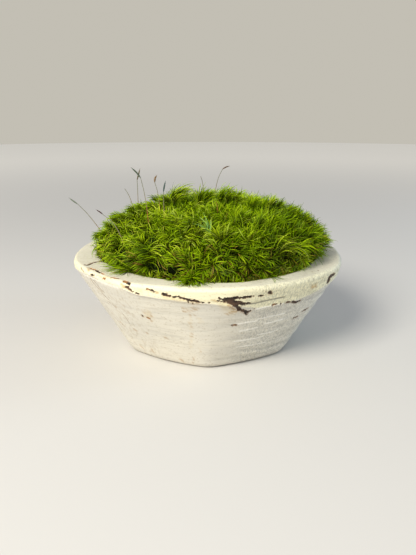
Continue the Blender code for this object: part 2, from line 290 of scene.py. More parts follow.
# The groove that runs inside the band at the right of the front, in pixels.
GROOVE_SEEN = ((242.2, 306), (249, 304.6), (257, 303.2), (271, 299.8), (283.5, 297.4))
GROOVE_HALF_WIDTH = 1.0 * MM
GROOVE_DEPTH = 0.7 * MM

# The paint's colours, and those that its colour is multiplied by.
WALL_CREAM = (0.80, 0.76, 0.65)
WALL_GREY = (0.715, 0.685, 0.60)
# The band's lighter, yellower cream, partly its own tone and partly painted light.
BAND_CREAM = (0.91, 0.86, 0.605)
# The blue grey of the painted cool reflection on the right side.
COOL_REFLECTION_GREY = (0.60, 0.66, 0.66)
# The light cream of the painted highlight on the paint ridges.
RIDGE_HIGHLIGHT = (0.93, 0.91, 0.83)
# The tinge of the painted shade on the right and back sides.
SHADE_TINGE = (0.965, 0.98, 1.0)
TINT_TINGE = (0.95, 0.85, 0.66)
STAIN_TINGE = (0.62, 0.42, 0.22)
CRACK_BROWN = (0.30, 0.21, 0.12)
RUST = (0.56, 0.33, 0.15)
# The dark grey of the painted shadow in the groove.
GROOVE_SHADOW = (0.20, 0.185, 0.17)
WARM_WOOD = (0.11, 0.058, 0.034)
FRESH_WOOD = (0.36, 0.17, 0.055)

# The moss. Its shoots stand on a dome, a shoot's reach inside the half ellipse of the tips.
TIPS_RADIUS = 99.5 * MM
TIPS_TOP = 122.5 * MM
TIPS_WAIST = 81 * MM
MOSS_DEPTH = 16 * MM
EDGE_DEPTH = 11 * MM
DOME_END = math.radians(100)
DOME_STEPS = 400
DOME_SHIFT = 2.5 * MM
LEFT_SHIFT = 3.5 * MM
LUMP_HEIGHT = 1.6 * MM
LUMP_SIZE = 38 * MM
TUFTS = 95
TUFT_RADIUS = 13 * MM
SHOOTS = 680
LEAVES_PER_SHOOT = 38
HEM_SHOOTS = 520
LEAVES_PER_HEM_SHOOT = 22
SHOOTS_PER_TUFT = 2
TUFT_SINK = 7 * MM
DEAD_TONE = 0.3
BLUISH_TONE = 0.99
LEAF_SEGMENTS = 7
LEAF_CURL_POWER = 1.15
LEAF_WIDTHS = (0.5, 0.85)
TONE_SPREAD = 0.008
LEAF_PIECES = 5
# Tufts that show one by one: the foot and the tip in pixels, the way the leaves curl to the
# right and up in the picture, how far they bend in degrees, how many leaves, and their tone.
TUFTS_SEEN = (
    ((101, 238), (95.5, 234), (-1, -0.6), 60, 60, 0.64),
    ((106, 235), (98, 228), (-1, -0.3), 50, 60, 0.66),
    ((112, 230), (106, 223.5), (-1, -0.3), 45, 54, 0.64),
    ((117, 220), (110.5, 211), (-1, -0.2), 45, 66, 0.66),
    ((125, 217), (118.5, 209.5), (-1, 0), 45, 60, 0.64),
    ((134, 212), (128, 205.5), (-1, -0.2), 50, 60, 0.68),
    ((143, 209), (138, 202.5), (-1, -0.2), 55, 54, 0.66),
    ((151, 207), (147, 200), (-0.9, -0.1), 60, 54, 0.68),
    ((159, 204), (155, 196), (-0.9, 0), 50, 60, 0.68),
    ((167, 203), (164, 195.5), (-0.6, 0.1), 40, 60, 0.7),
    ((172, 202), (171, 187), (0.3, 0.4), 40, 60, 0.7),
    ((174, 201), (174, 184.5), (1, -0.2), 78, 80, 0.7),
    ((178, 201), (177.5, 184), (1, -0.5), 86, 50, 0.72),
    ((182, 200), (182, 185.5), (1, -0.7), 80, 26, 0.18),
    ((199, 203), (199, 185.8), (0.3, 0.4), 35, 70, 0.68),
    ((206, 202), (207.5, 187.4), (0.7, 0.3), 35, 60, 0.66),
    ((220, 203), (219, 187.6), (1, 0.1), 75, 70, 0.64),
    ((227, 203), (226.5, 187.6), (1, 0), 70, 66, 0.68),
    ((234, 204), (234, 189.4), (1, 0), 60, 60, 0.7),
    ((247, 207), (248.5, 199), (0.4, 0.3), 35, 50, 0.66),
    ((255, 206), (256, 197), (0.3, 0.4), 35, 54, 0.7),
    ((265, 208), (265.5, 199.5), (0.4, 0.3), 35, 50, 0.68),
    ((272, 207), (273.5, 198), (0.3, 0.4), 35, 60, 0.7),
    ((279, 210), (281, 201), (0.7, 0.1), 40, 54, 0.68),
    ((287, 215), (288, 206), (0.7, 0.2), 40, 54, 0.66),
    ((294, 219), (295, 210.5), (0.8, 0.1), 40, 50, 0.68),
    ((299, 218), (299, 204), (0.1, 1), 20, 10, 0.64),
    ((303, 222), (304.5, 211.5), (0.7, 0.1), 45, 50, 0.68),
    ((309, 227), (311, 218.5), (1, 0), 50, 54, 0.66),
    ((314, 232), (317, 225), (1, -0.2), 50, 50, 0.64),
    ((320, 244), (323.5, 234), (0.5, 0.6), 30, 66, 0.7),
    ((321, 245), (328.5, 236), (1, 0.3), 35, 54, 0.7),
    ((319, 250), (323.5, 245.5), (1, -0.2), 50, 40, 0.66),
    ((101, 262), (107, 250), (1, -0.6), 130, 40, 0.7),
    ((112, 268), (118, 256), (1, -0.7), 130, 44, 0.72),
    ((127, 252), (134, 240), (1, -0.5), 100, 44, 0.7),
    ((147, 262), (155, 249), (1, -0.6), 115, 56, 0.74),
    ((150, 248), (158, 238), (1, -0.4), 90, 44, 0.72),
    ((173, 243), (166, 230), (-1, -0.3), 90, 40, 0.7),
    ((222, 240), (217, 222), (-0.8, 0.2), 35, 40, 0.72),
    ((224, 241), (230, 222), (0.8, 0.2), 35, 40, 0.74),
    ((246, 247), (241, 230), (-0.8, 0.2), 35, 40, 0.72),
    ((247, 247), (257, 229), (0.8, 0), 35, 40, 0.74),
    ((272, 243), (283, 231), (1, -0.2), 70, 40, 0.74),
    ((293, 262), (306, 248), (1, 0.1), 40, 40, 0.7),
    ((292, 252), (306, 238), (1, -0.2), 60, 36, 0.7),
    ((276, 258), (284, 237), (1, -0.4), 100, 30, 0.72),
    ((210, 233), (207, 214), (-0.5, 0.4), 14, 30, BLUISH_TONE),
    ((222, 274), (216, 264), (-0.6, 0.5), 45, 44, BLUISH_TONE),
    ((218, 274), (226, 264), (0.6, 0.5), 45, 40, BLUISH_TONE),
)
# Shoots at the mouth whose leaves lie out over the rim: the foot's pixel and how many leaves.
OVERHANGS_SEEN = (
    ((187, 279), 30),
    ((190, 280), 40),
    ((194, 280), 40),
    ((198, 280), 26),
    ((116, 265), 26),
    ((121, 267), 30),
    ((127, 269.5), 20),
    ((270, 277), 12),
)
# Places between the shoots that stay open, their short leaves painted darker as shade: a pixel and half
# the width in pixels.
GAPS_SEEN = (
    ((285, 246), 8.5),
    ((294, 252), 4.0),
    ((276, 237), 2.6),
    ((302, 243), 3.0),
    ((238, 262), 3.4),
    ((242, 272), 4.2),
    ((228, 271), 3.0),
    ((229, 249), 3.2),
    ((231, 258), 3.2),
    ((188, 236), 2.6),
    ((165, 259), 2.4),
    ((109, 260), 2.6),
    ((152, 240), 2.0),
)

# Where old brown growth shows between the shoots: a pixel and half the width in pixels.
OLD_GROWTH_SEEN = (
    ((236, 267), 13),
    ((139, 267), 9),
    ((189, 268), 7),
)

# The spore stalks: points from inside the cushion to the stalk's top, the capsule's points after
# that, and the capsule's radius, in mm, and its tone. A bare stalk has lost its capsule.
STALK_RADIUS = 0.24
SPORE_STALKS = (
    (
        ((-80, -9, 80), (-98.2, -6, 105), (-106, -5, 113)),
        ((-110, -4, 115.6), (-113.6, -3, 118.1)),
        0.55,
        1,
    ),
    (
        ((-58, -60, 82), (-68, -52, 104), (-80.5, -35, 110.2)),
        ((-83.4, -32, 111.6), (-86.6, -30, 112.9)),
        0.5,
        0,
    ),
    (((-61, 8, 100), (-66.3, 14, 116.5), (-70.3, 17, 122.5)), (), 0, 0),
    (
        ((-44, -44, 100), (-47.5, -38, 126), (-50.5, -34, 137.5)),
        ((-53.5, -31, 141), (-58.7, -27, 145)),
        0.62,
        0.6,
    ),
    (
        ((-57.5, 0, 100), (-57.7, 3, 124), (-58, 4, 131.5)),
        ((-57, 4.6, 135), (-55.4, 6, 141)),
        0.6,
        0.4,
    ),
    (
        ((-36.7, -23, 104), (-39.4, -19, 125), (-41.8, -15, 132)),
        ((-41.6, -14, 135), (-40, -13, 137.4)),
        0.75,
        0.2,
    ),
    (
        ((-32.5, -41, 100), (-33.6, -34, 120), (-33.6, -33, 127)),
        ((-33, -32, 131), (-32, -30, 135)),
        0.6,
        0.8,
    ),
    (((-3.5, 24, 108), (-4.3, 26, 126), (-6, 27, 132)), (), 0, 0),
    (
        ((4.5, 5, 106), (8.6, 7, 132), (12.3, 9, 139.8)),
        ((15.2, 10.5, 141.4), (18.6, 12, 142.2)),
        0.5,
        0.1,
    ),
)
# A capsule's radius along it, as a share of its own: neck, body, the lid's edge, and the beak.
CAPSULE_SHAPE = (
    (0, 0.4),
    (0.1, 0.7),
    (0.32, 1),
    (0.56, 0.95),
    (0.68, 0.78),
    (0.72, 0.86),
    (0.8, 0.5),
    (0.9, 0.26),
    (1, 0.12),
)

# The light: a warm window in front at the left, a cool fill from the right, and a pale sky.
LAMPS = (
    ("window", (-0.75, -1.05, 1.05), (0.7, 0.6), 30, (1.0, 0.96, 0.88)),
    ("cool_fill", (1.1, 0.1, 0.35), (0.5, 0.5), 4, (0.72, 0.86, 1.0)),
)
LAMP_TARGET = (0, 0, 0.07)
SKY_COLOUR = (0.93, 0.95, 1.0)
SKY_STRENGTH = 0.42
BACKDROP_COLOUR = (0.545, 0.52, 0.455)
FLOOR_COLOUR = (0.66, 0.645, 0.61)
FLOOR_GLOW = (0.98, 0.92, 0.78)
FLOOR_GLOW_STRENGTH = 0.32
FLOOR_GLOW_FROM = 0.3
FLOOR_GLOW_TO = 2
FLOOR_SIZE = 3
FLOOR_DROP = 0.3 * MM


def sight(x, y):
    """The direction in which the camera sees this pixel of the photograph."""
    right = (x - PHOTO_SIZE[0] / 2) / FOCAL_PIXELS
    up = (PHOTO_SIZE[1] / 2 - y) / FOCAL_PIXELS
    level = math.cos(CAMERA_DIP)
    fall = math.sin(CAMERA_DIP)
    return Vector((right, level + up * fall, up * level - fall)).normalized()


def seen_on(surface, pixels):
    """The points of a surface that the camera sees at these pixels."""
    return [surface.ray_cast(CAMERA_PLACE, sight(*pixel))[0] for pixel in pixels]


def node(tree, kind, **values):
    """Adds a node and sets its properties."""
    made = tree.nodes.new(kind)
    for name, value in values.items():
        setattr(made, name, value)
    return made


def ramp(tree, source, stops):
    """A colour ramp on a value, from (position, colour) stops."""
    made = node(tree, "ShaderNodeValToRGB")
    elements = made.color_ramp.elements
    while len(elements) < len(stops):
        elements.new(1)
    for element, (position, colour) in zip(elements, stops):
        element.position = position
        element.color = (*colour, 1)
    tree.links.new(source, made.inputs["Fac"])
    return made.outputs["Color"]


def mixed(tree, factor, first, second, blend="MIX"):
    """Mixes two colours. Each of the three is a socket or a value."""
    made = node(tree, "ShaderNodeMix", data_type="RGBA", blend_type=blend)
    for socket, value in zip((made.inputs[0], made.inputs[6], made.inputs[7]), (factor, first, second)):
        if isinstance(value, bpy.types.NodeSocket):
            tree.links.new(value, socket)
        elif isinstance(value, tuple):
            socket.default_value = (*value, 1)
        else:
            socket.default_value = value
    return made.outputs[2]


def maths(tree, operation, first, second=0.0):
    made = node(tree, "ShaderNodeMath", operation=operation)
    for socket, value in zip(made.inputs, (first, second)):
        if isinstance(value, bpy.types.NodeSocket):
            tree.links.new(value, socket)
        else:
            socket.default_value = value
    return made.outputs[0]


def new_material(name, roughness, specular=0.5):
    material = bpy.data.materials.new(name)
    material.use_nodes = True
    tree = material.node_tree
    shader = tree.nodes["Principled BSDF"]
    shader.inputs["Roughness"].default_value = roughness
    shader.inputs["Specular IOR Level"].default_value = specular
    return material, tree, shader


def stretched_noise(tree, scale, detail=3.0, roughness=0.5):
    """Noise on the object's coordinates, with its own scale along each axis."""
    place = node(tree, "ShaderNodeTexCoord")
    mapping = node(tree, "ShaderNodeMapping")
    mapping.inputs["Scale"].default_value = scale
    texture = node(tree, "ShaderNodeTexNoise")
    texture.inputs["Scale"].default_value = 1
    texture.inputs["Detail"].default_value = detail
    texture.inputs["Roughness"].default_value = roughness
    tree.links.new(place.outputs["Object"], mapping.inputs["Vector"])
    tree.links.new(mapping.outputs["Vector"], texture.inputs["Vector"])
    return texture.outputs["Fac"]


def fade(values, start, length):
    """Rises from 0 at the start to 1 a length further on, or falls where the length is negative."""
    return np.clip((values - start) / length, 0, 1)


def select_only(obj):
    bpy.ops.object.select_all(action="DESELECT")
    obj.select_set(True)
    bpy.context.view_layer.objects.active = obj


def finish_piece(obj, name, material, slot, *nodes):
    """Names a piece, gives it its material, and sets it in place of its solids."""
    obj.name = name
    obj.data.name = name
    obj.data.materials.clear()
    obj.data.materials.append(material)
    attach(obj, "root")
    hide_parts(*nodes)
    return obj


# The bowl's shape


def soft_polygon(angles, radius, corners, dip):
    """Radius at these angles of a polygon whose sides bulge and whose corners are worn round."""
    starts, shares = (np.array(column, float) for column in zip(*corners))
    starts = np.append(starts, starts[0] + 360)
    shares = np.append(shares, shares[0])
    total = np.zeros_like(angles)
    for shift in CORNER_SOFTNESS:
        turns = (angles + shift - starts[0]) % 360 + starts[0]
        part = np.interp(turns, starts, np.arange(len(starts))) % 1
        total += radius * np.interp(turns, starts, shares) * (1 - dip * 4 * part * (1 - part))
    return total / len(CORNER_SOFTNESS)


def wall_radius(angles, heights):
    base = soft_polygon(angles, BASE_RADIUS, BASE_CORNERS, BASE_DIP)
    top = soft_polygon(angles, WALL_TOP_RADIUS, RIM_CORNERS, RIM_DIP)
    return base + (top - base) * heights / WALL_TOP_HEIGHT


def hollow_radius(angles, heights):
    mouth = soft_polygon(angles, MOUTH_RADIUS, MOUTH_CORNERS, MOUTH_DIP)
    rise = (heights - FLOOR_HEIGHT) / (BOWL_HEIGHT - RIM_ROUNDING - FLOOR_HEIGHT)
    return FLOOR_RADIUS + (mouth - FLOOR_RADIUS) * rise


def band_foot(angles):
    degrees, depths = zip(*BAND_DEPTHS)
    return BOWL_HEIGHT - np.interp((angles + 180) % 360 - 180, degrees, depths) * MM


def rounded(steps, centre, radius, first, last):
    """Points of an arc between two angles in degrees, as (radius, height)."""
    turns = np.radians(np.linspace(first, last, steps))
    return [(centre[0] + radius * math.cos(t), centre[1] + radius * math.sin(t)) for t in turns]


def bowl_section(angles):
    """Rings of the bowl from the underside's middle, up outside and down inside.

    Each ring is a pair, its radius at each angle and its height at each angle.
    """
    flat = np.zeros_like(angles)
    base = wall_radius(angles, 0)
    rim = soft_polygon(angles, RIM_RADIUS, RIM_CORNERS, RIM_DIP)
    mouth = hollow_radius(angles, BOWL_HEIGHT - RIM_ROUNDING)
    foot = band_foot(angles)
    band = np.minimum(wall_radius(angles, foot) + BAND_STEP, rim - LEAST_BAND_STEP)
    rings = [((base - BASE_ROUNDING) * share, flat) for share in UNDERSIDE_SHARES]
    for radius, height in rounded(FOOT_STEPS, (-BASE_ROUNDING, BASE_ROUNDING), BASE_ROUNDING, -90, -20):
        rings.append((wall_radius(angles, height) + radius, flat + height))
    for part in np.linspace(0.02, 1, WALL_RINGS):
        height = BASE_ROUNDING + part * (foot - BAND_STEP - BASE_ROUNDING)
        rings.append((np.minimum(wall_radius(angles, height), band - LEAST_BAND_STEP), height))
    rings.append((band - BAND_CHAMFER * BAND_STEP, foot - BAND_CHAMFER * BAND_STEP))
    for part in np.linspace(0, 1, BAND_RINGS):
        height = foot + part * (BOWL_HEIGHT - RIM_ROUNDING - foot)
        rings.append((band + part * (rim - band), height))
    for radius, height in rounded(RIM_STEPS, (-RIM_ROUNDING, -RIM_ROUNDING), RIM_ROUNDING, 12, 90):
        rings.append((rim + radius, flat + BOWL_HEIGHT + height))
    for part in np.linspace(0.1, 0.9, RIM_TOP_RINGS):
        radius = rim - RIM_ROUNDING + part * (mouth - rim + 2 * RIM_ROUNDING)
        rings.append((radius, flat + BOWL_HEIGHT))
    for radius, height in rounded(RIM_STEPS, (RIM_ROUNDING, -RIM_ROUNDING), RIM_ROUNDING, 90, 180):
        rings.append((mouth + radius, flat + BOWL_HEIGHT + height))
    for height in HOLLOW_HEIGHTS:
        rings.append((hollow_radius(angles, height * MM), flat + height * MM))
    rings.append((flat + FLOOR_RADIUS - RIM_ROUNDING, flat + FLOOR_HEIGHT))
    rings.append((flat + 0.5 * FLOOR_RADIUS, flat + FLOOR_HEIGHT))
    return rings


def turned_blank(profile):
    """Turns a round blank from a section, a list of (radius, height) from outside to inside."""
    radius, height = profile[0]
    bpy.ops.object.select_all(action="DESELECT")
    bpy.ops.mesh.primitive_plane_add(size=MM, location=(0, 0, 0))
    blank = bpy.context.object
    bpy.ops.object.mode_set(mode="EDIT")
    bpy.ops.mesh.merge(type="CENTER")
    bpy.ops.transform.translate(value=(radius, 0, height))
    for (radius, height), (next_radius, next_height) in zip(profile, profile[1:]):
        step = (next_radius - radius, 0, next_height - height)
        bpy.ops.mesh.extrude_region_move(TRANSFORM_OT_translate={"value": step})
    bpy.ops.mesh.select_all(action="SELECT")
    bpy.ops.mesh.spin(steps=BOWL_COLUMNS, angle=math.tau, center=(0, 0, 0), axis=(0, 0, 1))
    bpy.ops.mesh.select_all(action="SELECT")
    bpy.ops.mesh.remove_doubles(threshold=0.01 * MM)
    bpy.ops.mesh.select_all(action="DESELECT")
    bpy.ops.mesh.select_non_manifold(extend=False)
    bpy.ops.mesh.edge_face_add()
    bpy.ops.mesh.select_all(action="SELECT")
    bpy.ops.mesh.normals_make_consistent(inside=False)
    bpy.ops.object.mode_set(mode="OBJECT")
    return blank


def places_of(obj):
    places = np.empty(len(obj.data.vertices) * 3, np.float32)
    obj.data.vertices.foreach_get("co", places)
    return places.reshape(-1, 3).astype(float)


def normals_of(obj):
    normals = np.empty(len(obj.data.vertices) * 3, np.float32)
    obj.data.vertices.foreach_get("normal", normals)
    return normals.reshape(-1, 3).astype(float)


def move_to(obj, places):
    obj.data.vertices.foreach_set("co", places.astype(np.float32).ravel())
    obj.data.update()


def noise_at(places, scale, shift=(0, 0, 0)):
    """Smooth noise from -1 to 1 at each place. The scale is the size of a patch in metres."""
    moved = places / np.array(scale) + np.array(shift)
    return np.array([noise.noise(place) for place in moved])


def around(places):
    return np.degrees(np.arctan2(places[:, 1], places[:, 0]))


def surface_of(obj):
    return BVHTree.FromObject(obj, bpy.context.evaluated_depsgraph_get())


def hew(blank, profile):
    """Moves the round blank's rings to the soft polygons of the real bowl."""
    places = places_of(blank)
    angles = around(places)
    turned = np.stack([np.hypot(places[:, 0], places[:, 1]), places[:, 2]], 1)
    gaps = np.linalg.norm(turned[:, None, :] - np.array(profile)[None, :, :], axis=2)
    ring_of = gaps.argmin(1)
    for number, (radius, height) in enumerate(bowl_section(angles)):
        own = ring_of == number
        places[own, 0] = (radius * np.cos(np.radians(angles)))[own]
        places[own, 1] = (radius * np.sin(np.radians(angles)))[own]
        places[own, 2] = height[own]
    move_to(blank, places)


def add_tool_marks(bowl):
    """Scallops left by the adze and the thick, brushed coat, as low relief on the outside.

    The paint reads how high the relief is, how far its strokes run down the wall, where the band is,
    how weathered each side is and how much painted shade darkens it, and how much painted cool
    reflection greys it.
    """
    places = places_of(bowl)
    normals = normals_of(bowl)
    angles = around(places)
    inner_edge = MOUTH_RADIUS * 0.8 - (BOWL_HEIGHT - places[:, 2]) * 0.4
    outside = np.hypot(places[:, 0], places[:, 1]) > inner_edge
    sides = np.clip(1.4 * np.hypot(normals[:, 0], normals[:, 1]), 0, 1)
    swept = places.copy()
    swept[:, 2] += STROKE_SWAY * noise_at(places, SWAY_PATCH, (3, 1, 8))
    ridges = noise_at(swept, ADZE_PATCH, (7, 2, 0))
    strokes = noise_at(swept, STROKE_PATCH, (1, 9, 4))
    swells = noise_at(places, SWELL_PATCH)
    pits = noise_at(places, PIT_PATCH, (5, 3, 6))
    right = fade(angles, -82, 14) * fade(angles, 25, -20)
    back = fade(angles, 20, 20) * fade(angles, 150, -20)
    band = fade(places[:, 2], band_foot(angles), MM) * (0.4 + 0.6 * sides)
    adze = (ADZE_HEIGHT + ADZE_HEIGHT_RIGHT * right + ADZE_HEIGHT_BACK * back) * (1 - 0.7 * band)
    relief = adze * ridges + STROKE_HEIGHT * strokes + SWELL_HEIGHT * swells + PIT_HEIGHT * right * pits
    relief *= np.where(outside, 1, 0) * (0.25 + 0.75 * sides)
    low = places[:, 2] < LEVEL_FOOT
    relief[low] = np.minimum(relief[low], 0)
    moved = places + normals * (relief * MM)[:, None]
    moved[places[:, 2] <= 0.01 * MM, 2] = 0
    move_to(bowl, moved)
    shown = (0.35 + right + 0.6 * back) * ridges + 0.5 * strokes + 0.5 * right * pits
    left = fade(angles, -112, -14) + fade(angles, 150, 20)
    # Where the side faces right: painted reflection of the cool light.
    cool = fade(angles, -38, 24) * fade(angles, 60, -30)
    add_number(bowl, "relief", np.clip(0.5 + 0.5 * shown * (1 - 0.6 * band), 0, 1))
    add_number(bowl, "grain", np.clip(left, 0, 1) * (1 - 0.7 * band))
    add_number(bowl, "band", band)
    # Right and back sides: weathered texture, and painted shade that darkens them.
    add_number(bowl, "weathered_and_shaded", np.clip(right + 0.7 * back, 0, 1) * (0.3 + 0.7 * sides))
    add_number(bowl, "cool", cool * sides)


def distance_to(places, points):
    """Distance from each place to a line through these points."""
    if len(points) == 1:
        return np.linalg.norm(places - np.array(points[0]), axis=1)
    nearest = np.full(len(places), 1.0)
    for start, end in zip(points, points[1:]):
        start = np.array(start)
        along = np.array(end) - start
        part = np.clip((places - start) @ along / (along @ along), 0, 1)
        nearest = np.minimum(nearest, np.linalg.norm(places - start - part[:, None] * along, axis=1))
    return nearest


def within(places, marks):
    """How far inside the nearest mark each place is, in metres, and negative outside them all."""
    best = np.full(len(places), -1.0)
    for half_width, points in marks:
        best = np.maximum(best, half_width * MM - distance_to(places, points))
    return best


def marks_seen(surface, table):
    """The marks of a table where the camera sees them, without the points that miss the surface."""
    marks = []
    for half_width, pixels in table:
        points = [point for point in seen_on(surface, pixels) if point]
        marks.append((half_width, points))
    return marks


def hidden_chips(surface, rng):
    """Chips along the band's lower edge, and a few on the rim's edge, on the hidden sides."""
    chips = []
    for _ in range(HIDDEN_CHIPS):
        angle = rng.uniform(HIDDEN_CHIPS_FROM, HIDDEN_CHIPS_TO)
        length = rng.choice(HIDDEN_CHIP_LENGTHS) * rng.uniform(0.6, 1.3)
        low = rng.uniform() < LOW_CHIP_SHARE
        points = []
        for step in np.arange(0, length + 1, CHIP_POINT_STEP):
            turn = angle + math.degrees(step * MM / RIM_RADIUS)
            height = band_foot(np.array([turn]))[0] if low else BOWL_HEIGHT - CHIP_BELOW_RIM
            height += rng.uniform(-CHIP_WANDER, CHIP_WANDER) * MM
            start = Vector((math.cos(math.radians(turn)), math.sin(math.radians(turn)), 0)) * BEYOND_BOWL
            start.z = height
            hit = surface.ray_cast(start, Vector((-start.x, -start.y, 0)).normalized())[0]
            points.append(hit)
        chips.append((rng.choice(HIDDEN_CHIP_HALF_WIDTHS), points))
    return chips


def refine_near(bowl, near):
    """Subdivides the faces of the bowl that have a chosen vertex, for chips with crisp edges."""
    select_only(bowl)
    bpy.ops.object.mode_set(mode="EDIT")
    bpy.ops.mesh.select_all(action="DESELECT")
    bpy.ops.mesh.select_mode(type="FACE")
    bpy.ops.object.mode_set(mode="OBJECT")
    for face in bowl.data.polygons:
        face.select = any(near[corner] for corner in face.vertices)
    bpy.ops.object.mode_set(mode="EDIT")
    bpy.ops.mesh.subdivide(number_cuts=3)
    bpy.ops.object.mode_set(mode="OBJECT")


def add_number(obj, name, values):
    """Gives a mesh a number at each vertex, for its material to read."""
    layer = obj.data.attributes.new(name, "FLOAT", "POINT")
    layer.data.foreach_set("value", np.asarray(values, np.float32))


def wear_paint(bowl, rng):
    """Chips the paint down to the wood, cuts the groove and marks it for painted shadow, and marks the
    stains.
    """
    surface = surface_of(bowl)
    chips = marks_seen(surface, CHIPS_SEEN) + hidden_chips(surface, rng)
    stains = marks_seen(surface, STAINS_SEEN)
    groove = [(GROOVE_HALF_WIDTH / MM, seen_on(surface, GROOVE_SEEN))]
    cracks = marks_seen(surface, CRACKS_SEEN)
    ridges = marks_seen(surface, RIDGES_SEEN)
    fresh = marks_seen(surface, FRESH_WOOD_SEEN)
    tints = marks_seen(surface, TINTS_SEEN)
    places = places_of(bowl)
    refine_near(bowl, within(places, chips + groove + cracks + ridges) > -REFINE_MARGIN)
    places = places_of(bowl)
    normals = normals_of(bowl)
    ragged = 0.85 * noise_at(places, 1.5 * MM) + 0.6 * noise_at(places, 0.75 * MM, (4, 4, 4))
    ragged += 0.4 * noise_at(places, 3.5 * MM, (6, 2, 9))
    inside = within(places, chips) + ragged * MM
    bare = np.clip(inside / CHIP_EDGE + 0.5, 0, 1)
    lip = np.exp(-(((inside + LIP_PLACE) / LIP_WIDTH) ** 2))
    splinters = noise_at(places, SPLINTER_PATCH, (8, 8, 8))
    cut = np.clip(within(places, groove) / GROOVE_HALF_WIDTH + 0.2 * ragged, 0, 1)
    depth = bare * (CHIP_DEPTH + SPLINTER_HEIGHT * splinters) - CHIP_LIP * lip * (1 - bare)
    cracked = np.clip(0.2 + within(places, cracks) / (0.4 * MM) + 0.9 * ragged, 0, 1)
    raised = np.clip(0.4 + within(places, ridges) / (0.6 * MM) + 0.8 * ragged, 0, 1) * (1 - bare)
    depth += GROOVE_DEPTH * cut + CRACK_DEPTH * cracked - RIDGE_HEIGHT * raised
    move_to(bowl, places - normals * depth[:, None])
    soft = noise_at(places, STAIN_PATCH, (2, 5, 1))
    stained = 0.5 + (within(places, stains) + STAIN_WANDER * soft) / STAIN_EDGE
    tinted = (within(places, tints) + TINT_WANDER * soft) / TINT_EDGE
    add_number(bowl, "bare_wood", bare)
    add_number(bowl, "chip_edge", np.clip(1 + inside / RUST_REACH, 0, 1))
    add_number(bowl, "stain", np.clip(stained, 0, 1))
    add_number(bowl, "tint", np.clip(tinted, 0, 1))
    add_number(bowl, "groove_shadow", cut)
    add_number(bowl, "crack", cracked)
    add_number(bowl, "raised", raised)
    add_number(bowl, "fresh", np.clip(0.5 + within(places, fresh) / MM + ragged, 0, 1))


def attribute(tree, name):
    """The number that a mesh carries under this name."""
    return node(tree, "ShaderNodeAttribute", attribute_name=name).outputs["Fac"]


def part_of(tree, name, strength):
    """A mesh's number, times a strength."""
    return maths(tree, "MULTIPLY", attribute(tree, name), strength)


def tinged(tree, colour, by):
    """A colour multiplied by another, or by a ramp."""
    return mixed(tree, 1.0, colour, by, "MULTIPLY")


